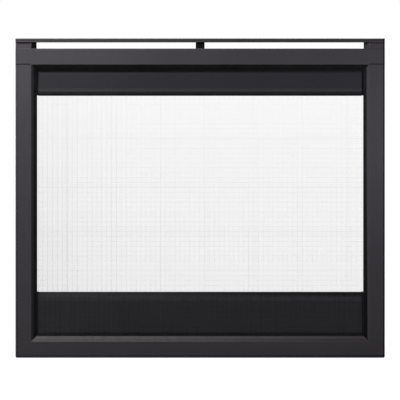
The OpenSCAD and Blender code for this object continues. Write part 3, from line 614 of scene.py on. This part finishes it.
def makeTopRail():
    reach, place = topRailDetails["returnReach"], alongX(topRailTop)
    middle = [(0, topRailDetails["return"], 0), (0, -frameSheet, foldRadius), (railFace - faceLap, -frameSheet, 0)]
    shells = [bentSheet(middle, frameSheet, place, (-reach, reach), ("finish", "low", "high")),
              bevelStrip(railFace, -frameSheet, place, (railMitre(-1), railMitre(1)))]
    # a block at each end, in front of the stile
    lapFoot = topRailFoot + faceLap
    for side in (-1, 1):
        outline = [(side * x, z) for x, z in (
            (reach, topRailTop), (halfWidth, topRailTop), (halfWidth, topRailFoot),
            (faceEdgeX, topRailFoot), (faceEdgeX, lapFoot), (reach, lapFoot))]
        shells.append(flatPlate(outline, -frameSheet, 0, (3, 4, 5)))
    return makeFramePiece("top_rail", shells)


bottomRailDetails = {"rimReach": 3.6, "cornerSteps": 8, "hold": 0.4}


def makeBottomRail():
    radius, reach, hold = sheetSizes["cornerRadius"], bottomRailDetails["rimReach"], bottomRailDetails["hold"]
    inset, edge = halfWidth - radius, halfWidth - reach

    def cornerArc(size):
        # the lower left corner, from the side to the underside
        steps = bottomRailDetails["cornerSteps"]
        turns = [math.radians(180 + 90 * step / steps) for step in range(steps + 1)]
        return [(-inset + size * math.cos(turn), radius + size * math.sin(turn)) for turn in turns]

    # stations round the outside, each with its way inwards
    left = [((-halfWidth, face), (1, 0)) for face in (railFace, radius + hold)]
    left += [((x, z), ((-inset - x) / radius, (radius - z) / radius)) for x, z in cornerArc(radius)]
    left.append(((-inset + hold, 0), (0, 1)))
    stations = left + [((-x, z), (-inX, inZ)) for (x, z), (inX, inZ) in reversed(left)]

    def placeRim(across, depth, station):
        (x, z), (inX, inZ) = stations[station]
        return x + across * inX, faceY + depth, z + across * inZ

    rim = [(0, sideDepth, 0), (0, 0, sheetSizes["bendRadius"]), (reach, 0, 0)]
    left = [(-edge, railFace)] + cornerArc(radius - reach)
    right = [(-x, z) for x, z in reversed(left)]
    notch = [(faceEdgeX, railFace), (faceEdgeX, railFace - faceLap)]
    notch += [(-x, z) for x, z in reversed(notch)]
    # only the two short edges beside the notch stand free
    free = {len(left + right) - 1, len(left + right + notch) - 1}
    return makeFramePiece("bottom_rail", [
        bentSheet(rim, frameSheet, placeRim, range(len(stations)), ("finish",)),
        flatPlate(left + right + notch, 0, frameSheet, set(range(len(left + right + notch))) - free),
        bevelStrip(railFace, 0, alongX(0, 1), (railMitre(-1), railMitre(1)))])


headerDetails = {"lip": 10.35, "proud": 3.0, "backLipGap": 1.8, "backLip": (44.0, 1.6)}


def makeHeaderStrip():
    lip, proud, (deepest, lowest) = headerDetails["lip"], headerDetails["proud"], headerDetails["backLip"]

    def reach(side):
        # the back lip ends short of the side walls
        return lambda across, depth: side * (
            halfWidth - headerDetails["backLipGap"] * (depth > deepest and across > lowest))

    section = [(lip, sideDepth, 0), (0, sideDepth, foldRadius), (0, -proud, foldRadius), (lip, -proud, 0)]
    return makeFramePiece("header_strip", [
        bentSheet(section, frameSheet, alongX(stripHigh.z), (reach(-1), reach(1)))])


for name, side in (("left_stile", -1), ("right_stile", 1)):
    makeStile(name, side)
makeTopRail()
makeBottomRail()
makeHeaderStrip()
print("frame: stiles, rails and header strip")

memberDetails = {"backLeg": 12.0, "frontLeg": insertHigh.x - openingX + 1.0, "depth": 16.0}
back = seatDepth + memberDetails["depth"]
section = [(memberDetails["backLeg"], back, 0), (0, back, foldRadius), (0, seatDepth, foldRadius),
           (memberDetails["frontLeg"], seatDepth, 0)]
memberNames = ("insert_left_member", "insert_right_member", "insert_bottom_member", "insert_top_member")
for name, (place, ends) in zip(memberNames, fourSides(insertLow, insertHigh)):
    makePiece(name, [bentSheet(section, insertSheet, place, ends)], "insert_coating", "screen_insert", (name,))
print("insert: four mitred members")

# Cover panels: a face with a rolled lip and a folded end, and stepped returns with flanges at both sides
panelDetails = {
    "halfWidth": 456.3, "face": 24.0, "flangeBack": 33.0, "flangeReach": 488.0, "flangeStep": 476.0,
    "stepHalf": 0.5, "backBand": 1.3,
}
panelKinds = {
    # section of the face, then the ends of its returns, of its flanges and of the flanges beyond their step
    "upper_panel": (((738.6, 34.0, 0), (738.9, 30.2, 4.0), (746.0, 24.0, 9.0), (821.2, 24.0, foldRadius),
                     (821.2, 33.0, 0)),
                    (750.6, 820.6), (739.7, 821.2), (739.7, 806.2)),
    "lower_panel": (((35.5, 33.0, 0), (69.0, 33.0, foldRadius - insertSheet), (69.0, 24.0, foldRadius),
                     (166.5, 24.0, 30.0), (185.8, 36.0, 0)),
                    (69.6, 165.5), (45.5, 186.5), (65.5, 186.5)),
}


def makePanel(name, section, returnEnds, flangeEnds, stepEnds):
    half, back, step, stepHalf = (panelDetails[key] for key in ("halfWidth", "flangeBack", "flangeStep", "stepHalf"))
    side = [(half, panelDetails["face"] + insertSheet / 2, 0), (half, back, foldRadius - insertSheet),
            (step - stepHalf, back, 0), (step + stepHalf, back, 0), (panelDetails["flangeReach"], back, 0)]

    def endAt(index):
        def level(across, depth):
            if depth < back - panelDetails["backBand"]:
                return returnEnds[index]
            return flangeEnds[index] if across < step else stepEnds[index]
        return level

    shells = [bentSheet(section, insertSheet, alongX(0, 1), (-half, half))]
    shells += [bentSheet(side, insertSheet, alongZ(0, way), (endAt(0), endAt(1)), ("start",)) for way in (1, -1)]
    return makePiece(name, shells, "panel_coating", "screen_insert", (name,))


for name, details in panelKinds.items():
    makePanel(name, *details)
print("panels: rolled lips, returns and flanges")


# Geometry Nodes pieces

def metres(sizes):
    return {label: size * mm for label, size in sizes.items()}


def newTree(name, values):
    tree = bpy.data.node_groups.new(name, "GeometryNodeTree")
    addSockets(tree, {"Geometry": "Geometry", **values, "Material": "Material"})
    addSockets(tree, {"Geometry": "Geometry"}, "OUTPUT")
    return tree.nodes.new("NodeGroupInput").outputs


def realised(geometry):
    return addNode("GeometryNodeRealizeInstances", {0: geometry}).outputs[0]


def endTree(given, geometry, smooth=True):
    shaded = addNode("GeometryNodeSetShadeSmooth", {"Geometry": realised(geometry), "Shade Smooth": smooth}).outputs[0]
    painted = addNode("GeometryNodeSetMaterial", {"Geometry": shaded, "Material": given["Material"]})
    return addNode("NodeGroupOutput", {0: painted.outputs[0]}).id_data


def vectorFrom(x=0.0, y=0.0, z=0.0):
    return addNode("ShaderNodeCombineXYZ", {0: x, 1: y, 2: z}).outputs[0]


def moved(geometry, translation=(0.0, 0.0, 0.0), rotation=(0.0, 0.0, 0.0)):
    return addNode("GeometryNodeTransform", {
        "Geometry": geometry, "Translation": translation, "Rotation": rotation}).outputs[0]


def raised(geometry, height, **turn):
    return moved(geometry, vectorFrom(z=height), **turn)


def cylinder(vertices, radius, depth):
    return addNode("GeometryNodeMeshCylinder", {
        "Vertices": vertices, "Radius": radius, "Depth": depth}).outputs["Mesh"]


def cone(vertices, low, high, depth, fill="NGON"):
    return addNode("GeometryNodeMeshCone", {
        "Vertices": vertices, "Radius Bottom": low, "Radius Top": high, "Depth": depth,
    }, fill_type=fill).outputs["Mesh"]


def pointLine(count, offset, start=(0.0, 0.0, 0.0)):
    return addNode("GeometryNodeMeshLine", {
        "Count": count, "Start Location": start, "Offset": offset}, mode="OFFSET").outputs["Mesh"]


def joined(*parts):
    tree = treeOf(parts)
    node = addNode("GeometryNodeJoinGeometry", tree=tree)
    for part in parts:
        tree.links.new(part, node.inputs[0])
    return node.outputs[0]


def boolean(operation, first, *others):
    tree = first.id_data
    node = addNode("GeometryNodeMeshBoolean", tree=tree, operation=operation, solver="EXACT")
    tree.links.new(first, node.inputs["Mesh 1" if operation == "DIFFERENCE" else "Mesh 2"])
    for other in others:
        tree.links.new(other, node.inputs["Mesh 2"])
    return node.outputs[0]


def onPoints(points, instance, more=()):
    inputs = {"Points": points, "Instance": instance, **dict(more)}
    return addNode("GeometryNodeInstanceOnPoints", inputs).outputs[0]


def endOnPoints(given, instance):
    # one instance on each point, its Z turned to the point's own facing
    facing = addNode("GeometryNodeInputNamedAttribute", {"Name": "facing"}, instance.id_data, data_type="FLOAT_VECTOR")
    turned = addNode("FunctionNodeAlignRotationToVector", {"Vector": facing.outputs["Attribute"]}, axis="Z")
    placed = onPoints(given["Geometry"], instance, {"Rotation": turned.outputs["Rotation"]})
    return endTree(given, placed, smooth=False)


# Nuts: a hexagonal prism, its corners taken off by a cone from both ends, with a bore
nutDetails = {"coneDepth": 0.8, "coneWide": 1.75, "coneNarrow": 0.47, "coneSides": 32, "boreSides": 24}


def buildNutTree():
    given = newTree("hexNuts", {"Flats": 0.008, "Height": 0.004, "Thread": 0.0025})
    flats, height = given["Flats"], given["Height"]
    corner = divided(flats, 2 * math.cos(math.radians(30)))
    depth = times(corner, nutDetails["coneDepth"])
    clip = cone(nutDetails["coneSides"], times(corner, nutDetails["coneWide"]),
                times(flats, nutDetails["coneNarrow"]), depth)
    lifted = raised(clip, minus(times(height, 0.5), depth))
    flipped = moved(lifted, rotation=(math.pi, 0.0, 0.0))
    clipped = boolean("INTERSECT", cylinder(6, corner, height), lifted)
    clipped = boolean("INTERSECT", clipped, flipped)
    bore = cylinder(nutDetails["boreSides"], given["Thread"], times(height, 2.0))
    nut = boolean("DIFFERENCE", clipped, bore)
    return endOnPoints(given, nut)


studDetails = {"root": 0.84, "tip": 0.6, "sides": 18, "fit": 0.98}


def buildStudTree():
    given = newTree("threadedStuds", {"Radius": 0.0025, "Pitch": 0.0008, "Length": 0.007})
    radius, pitch, length, sides = given["Radius"], given["Pitch"], given["Length"], studDetails["sides"]
    root = times(radius, studDetails["root"])
    halfPitch = times(pitch, 0.5)
    rise = cone(sides, root, radius, halfPitch, "NONE")
    fall = cone(sides, radius, root, halfPitch, "NONE")
    turn = joined(rise, raised(fall, halfPitch))
    count = minus(mathNode("FLOOR", divided(length, pitch)), 1.0)
    thread = onPoints(pointLine(count, vectorFrom(z=pitch)), turn)
    tipStart = times(count, pitch)
    tip = cone(sides, root, times(radius, studDetails["tip"]), minus(length, tipStart))
    stud = joined(realised(thread), raised(tip, tipStart))
    return endOnPoints(given, stud)


screwDetails = {
    # layers of the head: foot and top by its height, foot and top radius by its radius
    "layers": ((0.0, 0.5, 1.0, 1.0), (0.48, 0.82, 1.0, 0.86), (0.80, 1.0, 0.865, 0.55)),
    "sizes": {"Head Radius": 3.1, "Head Height": 1.6, "Shank Radius": 1.6},     # millimetres
    "blade": 0.26, "recessDepth": 1.3, "headSides": 28, "shankSides": 16,
}


def buildScrewTree():
    given = newTree("crossScrews", {**metres(screwDetails["sizes"]), "Shank Length": 0.004, "Recess": 0.55})
    radius, height, length = given["Head Radius"], given["Head Height"], given["Shank Length"]
    layers = []
    for low, high, wide, narrow in screwDetails["layers"]:
        layer = cone(screwDetails["headSides"], times(radius, wide), times(radius, narrow), times(height, high - low))
        layers.append(raised(layer, times(height, low)))
    size = vectorFrom(
        times(radius, 2.0, given["Recess"]), times(radius, screwDetails["blade"]),
        times(height, screwDetails["recessDepth"]))
    bar = addNode("GeometryNodeMeshCube", {"Size": size}).outputs["Mesh"]
    bars = [raised(bar, height, rotation=(0.0, 0.0, turn)) for turn in (0.0, math.pi / 2)]
    head = boolean("DIFFERENCE", boolean("UNION", *layers), *bars)
    shank = cylinder(screwDetails["shankSides"], given["Shank Radius"], length)
    screw = joined(head, raised(shank, times(length, -0.5)))
    return endOnPoints(given, screw)


washerDetails = {"sizes": {"Radius": 5.0, "Hole": 2.7, "Thickness": 1.0}, "sides": 40, "holeSides": 32}


def buildWasherTree():
    given = newTree("washers", metres(washerDetails["sizes"]))
    disc = cylinder(washerDetails["sides"], given["Radius"], given["Thickness"])
    hole = cylinder(washerDetails["holeSides"], given["Hole"], times(given["Thickness"], 3.0))
    ring = boolean("DIFFERENCE", disc, hole)
    return endOnPoints(given, ring)


def randomFloat(low, high, seed):
    # sockets 2, 3 and 8 are the float's minimum and maximum, and the seed
    return addNode("FunctionNodeRandomValue", {2: low, 3: high, 8: seed}, data_type="FLOAT").outputs[1]


clothDetails = {
    "sizes": {"Pitch Across": 2.762, "Pitch Up": 2.762, "Wire Radius": 0.096},     # millimetres
    "weave": {"Heavy Every": 5.0, "Heavy Factor": 1.7, "Uneven": 0.12, "Drift": 0.05,
              "Thicken Low": 0.28, "Thicken High": -0.58, "Thicken Left": 1.1, "Seed": 3},
    "hemCover": 16.0, "wireSides": 6, "leftward": 5.0, "levelSeed": 11, "driftSeed": 5,
}


def buildClothTree():
    # woven wire cloth: a row of uprights and a row of level wires, touching back to back
    given = newTree("wireCloth", {"Width": 1.0, "Height": 1.0, "Middle": (0.0, 0.0, 0.0),
                                  **metres(clothDetails["sizes"]), **clothDetails["weave"]})
    radius = given["Wire Radius"]
    lowThick, highThick = (plus(given[label], 1.0) for label in ("Thicken Low", "Thicken High"))
    rows = []
    for upright, span, length, pitch in (
            (True, "Width", "Height", "Pitch Across"), (False, "Height", "Width", "Pitch Up")):
        step, length = given[pitch], given[length]

        def laidOut(between, through, along):
            # a vector from what runs from wire to wire, through the cloth and along the wires
            return vectorFrom(*((between, through, along) if upright else (along, through, between)))

        count = plus(mathNode("FLOOR", divided(given[span], step)), 1.0)
        first = times(minus(count, 1.0), step, -0.5)
        start = laidOut(first, times(radius, -1.0 if upright else 1.0), 0.0)
        line = pointLine(count, laidOut(step, 0.0, 0.0), start)
        # the wires are thickest at the foot, so the uprights taper and the level wires thin out upwards
        wide, narrow = (times(radius, thick) if upright else radius for thick in (lowThick, highThick))
        wire = cone(clothDetails["wireSides"], wide, narrow, length)
        laid = moved(raised(wire, times(length, -0.5)), rotation=(0.0, 0.0 if upright else math.pi / 2, 0.0))
        # every few wires a heavier one, as the reed leaves it, and each one a little uneven
        number = addNode("GeometryNodeInputIndex", tree=radius.id_data).outputs[0]
        seed = plus(given["Seed"], 0 if upright else clothDetails["levelSeed"])
        turnOver = mathNode("FRACT", divided(number, given["Heavy Every"]))
        heavy = mathNode("LESS_THAN", turnOver, divided(0.999, given["Heavy Every"]))
        more = times(heavy, minus(given["Heavy Factor"], 1.0))
        uneven = randomFloat(minus(1.0, given["Uneven"]), plus(1.0, given["Uneven"]), seed)
        part = divided(number, count)
        # the uprights also thicken towards the left
        if upright:
            leftward = mathNode("POWER", minus(1.0, part), clothDetails["leftward"])
            thickening = plus(times(leftward, given["Thicken Left"]), 1.0)
        else:
            thickening = plus(lowThick, times(part, minus(highThick, lowThick)))
        thick = times(plus(more, 1.0), uneven, thickening)
        stray = randomFloat(-1.0, 1.0, plus(seed, clothDetails["driftSeed"]))
        shift = times(times(given["Drift"], step), stray)
        nudged = addNode("GeometryNodeSetPosition", {"Geometry": line, "Offset": laidOut(shift, 0.0, 0.0)})
        rows.append(onPoints(nudged.outputs[0], laid, {"Scale": laidOut(thick, thick, 1.0)}))
    return endTree(given, moved(joined(*rows), given["Middle"]))


nutTree, studTree, screwTree = buildNutTree(), buildStudTree(), buildScrewTree()
washerTree, clothTree = buildWasherTree(), buildClothTree()


def growPiece(name, tree, values, slotName, points=((0, 0, 0),), facings=((0, 0, 1),)):
    # runs the tree on a set of points and keeps the result as a plain mesh
    base = bpy.data.meshes.new(name + "_points")
    base.from_pydata([Vector(point) * mm for point in points], [], [])
    base.attributes.new("facing", "FLOAT_VECTOR", "POINT").data.foreach_set(
        "vector", [value for facing in facings for value in facing])
    seedObject = addObject(name + "_seed", base)
    modifier = seedObject.modifiers.new(name, "NODES")
    modifier.node_group = tree
    for item in tree.interface.items_tree:
        if item.in_out == "INPUT" and item.name in values:
            modifier[item.identifier] = values[item.name]
        elif item.in_out == "INPUT" and item.name == "Material":
            modifier[item.identifier] = materials[slotName]
    bpy.context.view_layer.update()
    grown = seedObject.evaluated_get(bpy.context.evaluated_depsgraph_get())
    mesh = bpy.data.meshes.new_from_object(grown)
    seedObject.modifiers.remove(modifier)
    bpy.data.objects.remove(seedObject)
    mesh.name = name
    mesh.set_sharp_from_angle(angle=math.radians(30))
    return addObject("fine_" + name, mesh)


def solidBoxes(node):
    # boxes of a node's separate solids, in millimetres, from a merged copy of its mesh
    shell = bmesh.new()
    shell.from_mesh(frame["nodes"][node].data)
    bmesh.ops.remove_doubles(shell, verts=shell.verts, dist=1e-6)
    boxes, seen = [], set()
    for vertex in shell.verts:
        if vertex in seen:
            continue
        seen.add(vertex)
        group, queue = [], [vertex]
        while queue:
            here = queue.pop()
            group.append(here.co / mm)
            for other in (edge.other_vert(here) for edge in here.link_edges):
                if other not in seen:
                    seen.add(other)
                    queue.append(other)
        boxes.append(tuple(Vector([end(point[axis] for point in group) for axis in range(3)]) for end in (min, max)))
    shell.free()
    return boxes


def nutPlaces(node):
    # middle and outward facing of each nut or washer in a node, and how thick they are
    middles, facings, thicknesses = [], [], []
    for low, high in solidBoxes(node):
        size, middle, facing = high - low, (low + high) / 2, Vector((0, 0, 0))
        axis = min(range(3), key=lambda index: size[index])
        facing[axis] = -math.copysign(1, middle.x) if axis == 0 else 1.0
        middles.append(middle)
        facings.append(facing)
        thicknesses.append(size[axis])
    return middles, facings, thicknesses[0]


def growFasteners(name, tree, sizes, places, replaced=()):
    grown = growPiece(name, tree, metres(sizes), "zinc_fasteners", *places)
    ridePiece(grown, "zinc_fasteners", "front_frame", replaced)


nutKinds = {
    # node: flats, thread radius, sheet below the nut, stud beyond it, thread pitch
    "gusset_nuts": (8.0, 2.5, 2.0, 1.5, 0.8), "rest_nuts": (8.0, 2.5, 2.0, 1.5, 0.8),
    "bracket_nuts": (8.0, 2.5, 3.0, 1.5, 0.8), "rail_nuts": (7.0, 2.0, 1.5, 1.5, 0.7),
    "catch_nuts": (7.0, 2.0, 1.5, 1.5, 0.7),
}
for node, (flats, thread, below, beyond, pitch) in nutKinds.items():
    middles, facings, height = nutPlaces(node)
    growFasteners(node, nutTree, {"Flats": flats, "Height": height, "Thread": thread}, (middles, facings), (node,))
    feet = [middle - facing * (height / 2 + below) for middle, facing in zip(middles, facings)]
    growFasteners(node.replace("nuts", "studs"), studTree, {
        "Radius": thread * studDetails["fit"], "Pitch": pitch, "Length": below + height + beyond}, (feet, facings))

growFasteners("bracket_washers", washerTree, washerDetails["sizes"], nutPlaces("bracket_washers")[:2],
              ("bracket_washers",))

screwKinds = {
    # node: body, way the heads face, recess across the head
    "header_screws": ("front_frame", (0, 0, -1), 0.55), "corner_plate_screws": ("screen_insert", (0, 1, 0), 0.55),
    "retainer_screws": ("screen_insert", (0, 1, 0), 0.55), "panel_screws": ("screen_insert", (0, 1, 0), 0.55),
    "strike_rivets": ("screen_insert", (0, 1, 0), 0.22),
}
for node, (body, facing, recess) in screwKinds.items():
    axis = max(range(3), key=lambda index: abs(facing[index]))
    tall, lengths = screwDetails["sizes"]["Head Height"], {}
    for low, high in solidBoxes(node):
        seat = (low + high) / 2
        seat[axis] = high[axis] - tall if facing[axis] > 0 else low[axis] + tall
        lengths.setdefault(round((high - low)[axis] - tall, 2), []).append(seat)
    pieces = [
        growPiece(node, screwTree, {**metres({**screwDetails["sizes"], "Shank Length": shank}), "Recess": recess},
                  "zinc_fasteners", seats, [facing] * len(seats))
        for shank, seats in sorted(lengths.items())]
    if len(pieces) > 1:
        with bpy.context.temp_override(active_object=pieces[0], selected_editable_objects=pieces):
            bpy.ops.object.join()
    ridePiece(pieces[0], "zinc_fasteners", body, (node,))
print("fasteners: nuts, studs, washers, screws and rivets")

meshLow, meshHigh = boxMm("screen_mesh")
cover = 2 * clothDetails["hemCover"]
cloth = growPiece("screen_mesh", clothTree, {
    "Middle": (meshLow + meshHigh) / 2 * mm, **metres({
        "Width": meshHigh.x - meshLow.x - cover, "Height": meshHigh.z - meshLow.z - cover, **clothDetails["sizes"]}),
    **clothDetails["weave"]}, "mesh_wire")
ridePiece(cloth, "mesh_wire", "screen_insert", ("screen_mesh",))

# The hem: a thin binding folded over the mesh's edge on all four sides, mitred at the corners
hemDetails = {"width": 18.0, "sheet": 0.3, "fold": 0.42, "steps": 3, "hold": 0.03}
front, back = meshLow.y - faceY, meshHigh.y - faceY
section = [(hemDetails["width"], back, 0), (0, back, hemDetails["fold"]), (0, front, hemDetails["fold"]),
           (hemDetails["width"], front, 0)]
makePiece("mesh_hem", [
    bentSheet(section, hemDetails["sheet"], place, ends, ("start", "finish", "low", "high"),
              hemDetails["steps"], hemDetails["hold"])
    for place, ends in fourSides(meshLow, meshHigh)], "mesh_wire", "screen_insert")
print("screen: wire cloth with", len(cloth.data.polygons), "faces, and its hem")

magnetDetails = {"pole": 2.0, "coreInset": 0.4, "chamfer": 0.5}


def makeMagnet(name):
    # a ferrite block between two steel pole plates
    low, high = boxMm(name)
    pole, inset = magnetDetails["pole"], magnetDetails["coreInset"]
    poleLow, poleHigh, core = low.z + pole, high.z - pole, Vector((inset, inset, pole))
    shell = bmesh.new()
    for first, second, metal in ((low, (high.x, high.y, poleLow), 1), ((low.x, low.y, poleHigh), high, 1),
                                 (low + core, high - core, 0)):
        made = bmesh.ops.create_cube(shell, size=1.0)["verts"]
        for vertex in made:
            vertex.co = Vector([(a + b) / 2 + (b - a) * value for a, b, value in zip(first, second, vertex.co)]) * mm
        faces = {face for vertex in made for face in vertex.link_faces}
        for face in faces:
            face.material_index = metal
        bmesh.ops.bevel(shell, geom=list({edge for face in faces for edge in face.edges}),
                        offset=magnetDetails["chamfer"] * mm, segments=2, profile=0.5, affect="EDGES",
                        clamp_overlap=True)
    mesh = bpy.data.meshes.new(name)
    shell.to_mesh(mesh)
    shell.free()
    for slotName in ("ferrite", "galvanised_sheet"):
        mesh.materials.append(materials[slotName])
    return ridePiece(addObject("fine_" + name, mesh), "ferrite", "front_frame", (name,))


for name in ("left_magnet", "right_magnet"):
    makeMagnet(name)
print("catches: magnets with pole plates")

# Floor, white surroundings, lamps and camera

stageDetails = {"floorSize": 60.0, "floorTone": 0.2, "glowNear": 0.86, "glowFar": 1.0, "nearRadius": 0.9,
                "farRadius": 2.2, "blendDepth": 0.1, "ambient": 0.04}

lamps = {
    # name: place, aimed at, size, watts
    "key": ((-1.1, -1.6, 1.9), (0.0, 0.0, 0.5), 0.5, 30.4),
    "near": ((-0.8, -0.7, 1.25), (0.0, 0.0, 0.5), 0.4, 9.0),
    "side": ((0.7, -0.5, 0.65), (0.0, 0.0, 0.5), 0.25, 1.7),
    "rear": ((0.9, 2.4, 1.7), (0.0, 0.0, 0.45), 1.4, 70.0),
    "rearLow": ((-1.2, 2.2, 0.8), (0.0, 0.0, 0.45), 1.0, 30.0),
}


def seenDirectly(tree):
    path = addNode("ShaderNodeLightPath", tree=tree).outputs
    return largest(path["Is Camera Ray"], path["Is Glossy Ray"], path["Is Transmission Ray"])


def vectorMath(operation, *values):
    return addNode("ShaderNodeVectorMath", dict(enumerate(values)), operation=operation).outputs


def lampShare(point, place, target, size, watts):
    # what a lamp adds to the floor's brightness at a point
    away = vectorMath("SUBTRACT", place, point)[0]
    distance = vectorMath("LENGTH", away)["Value"]
    aim = (Vector(place) - Vector(target)).normalized()
    facing = vectorMath("DOT_PRODUCT", away, aim)["Value"]
    falling = divided(largest(facing, 0.0), mathNode("POWER", distance, 4.0))
    return times(falling, stageDetails["floorTone"] * watts * place[2] / (4 * math.pi))


def emptyNodes(owner):
    owner.use_nodes = True
    owner.node_tree.nodes.clear()
    return owner.node_tree


def makeFloor():
    half = stageDetails["floorSize"] / 2
    mesh = bpy.data.meshes.new("floor")
    mesh.from_pydata([(-half, -half, 0), (half, -half, 0), (half, half, 0), (-half, half, 0)], [], [(0, 1, 2, 3)])
    floor = addObject("floor", mesh)
    mesh.materials.append(bpy.data.materials.new("pale_floor"))
    tree = emptyNodes(mesh.materials[0])
    tone = stageDetails["floorTone"]
    diffuse = addNode("ShaderNodeBsdfDiffuse", {"Color": (tone, tone, tone, 1)}, tree)
    # near the object the lamps add their share, so the glow leaves room there for the shadow
    point = objectPlace(tree)
    level = rampNode(vectorMath("LENGTH", point)["Value"], stageDetails["nearRadius"],
                     stageDetails["farRadius"], stageDetails["glowNear"], stageDetails["glowFar"], smooth=True)
    # behind it glow and lamps add up to white, so that the mesh still shows in front of the floor
    white = minus(1.0, *[lampShare(point, *details) for details in lamps.values()])
    behind = rampNode(splitNode(point)[1], 0.0, stageDetails["blendDepth"], smooth=True)
    glow = addNode("ShaderNodeEmission", {
        "Color": (1, 1, 1, 1), "Strength": times(seenDirectly(tree), mixNumber(behind, level, white))})
    both = addNode("ShaderNodeAddShader", {0: diffuse.outputs[0], 1: glow.outputs[0]})
    addNode("ShaderNodeOutputMaterial", {"Surface": both.outputs[0]})


def makeWorld():
    world = bpy.data.worlds.new("surroundings")
    bpy.context.scene.world = world
    tree = emptyNodes(world)
    background = addNode("ShaderNodeBackground", {
        "Color": (1, 1, 1, 1), "Strength": mixNumber(seenDirectly(tree), stageDetails["ambient"], 1.0)})
    addNode("ShaderNodeOutputWorld", {"Surface": background.outputs[0]})


def makeLamp(name, place, target, size, watts):
    data = bpy.data.lights.new(name, "AREA")
    data.shape = "DISK"
    data.size = size
    data.energy = watts
    lamp = addObject(name, data)
    lamp.location = place
    lamp.rotation_euler = (Vector(target) - Vector(place)).to_track_quat("-Z", "Y").to_euler()


cameraDetails = {"distance": 20.0, "x": -0.0004, "height": 0.4447, "widthSeen": 1.1273, "sensor": 36.0, "reach": 200.0}


def makeCamera():
    data = bpy.data.cameras.new("camera")
    data.sensor_width = cameraDetails["sensor"]
    away = cameraDetails["distance"]
    data.lens = data.sensor_width * (away + faceY * mm) / cameraDetails["widthSeen"]
    data.clip_end = cameraDetails["reach"]
    camera = addObject("camera", data)
    camera.location = (cameraDetails["x"], -away, cameraDetails["height"])
    camera.rotation_euler = (math.radians(90), 0, 0)
    bpy.context.scene.camera = camera


makeFloor()
makeWorld()
for name, details in lamps.items():
    makeLamp(name, *details)
makeCamera()
bpy.context.scene.view_settings.view_transform = "Standard"
print("stage: floor, surroundings,", len(lamps), "lamps and camera")

bpy.context.view_layer.update()
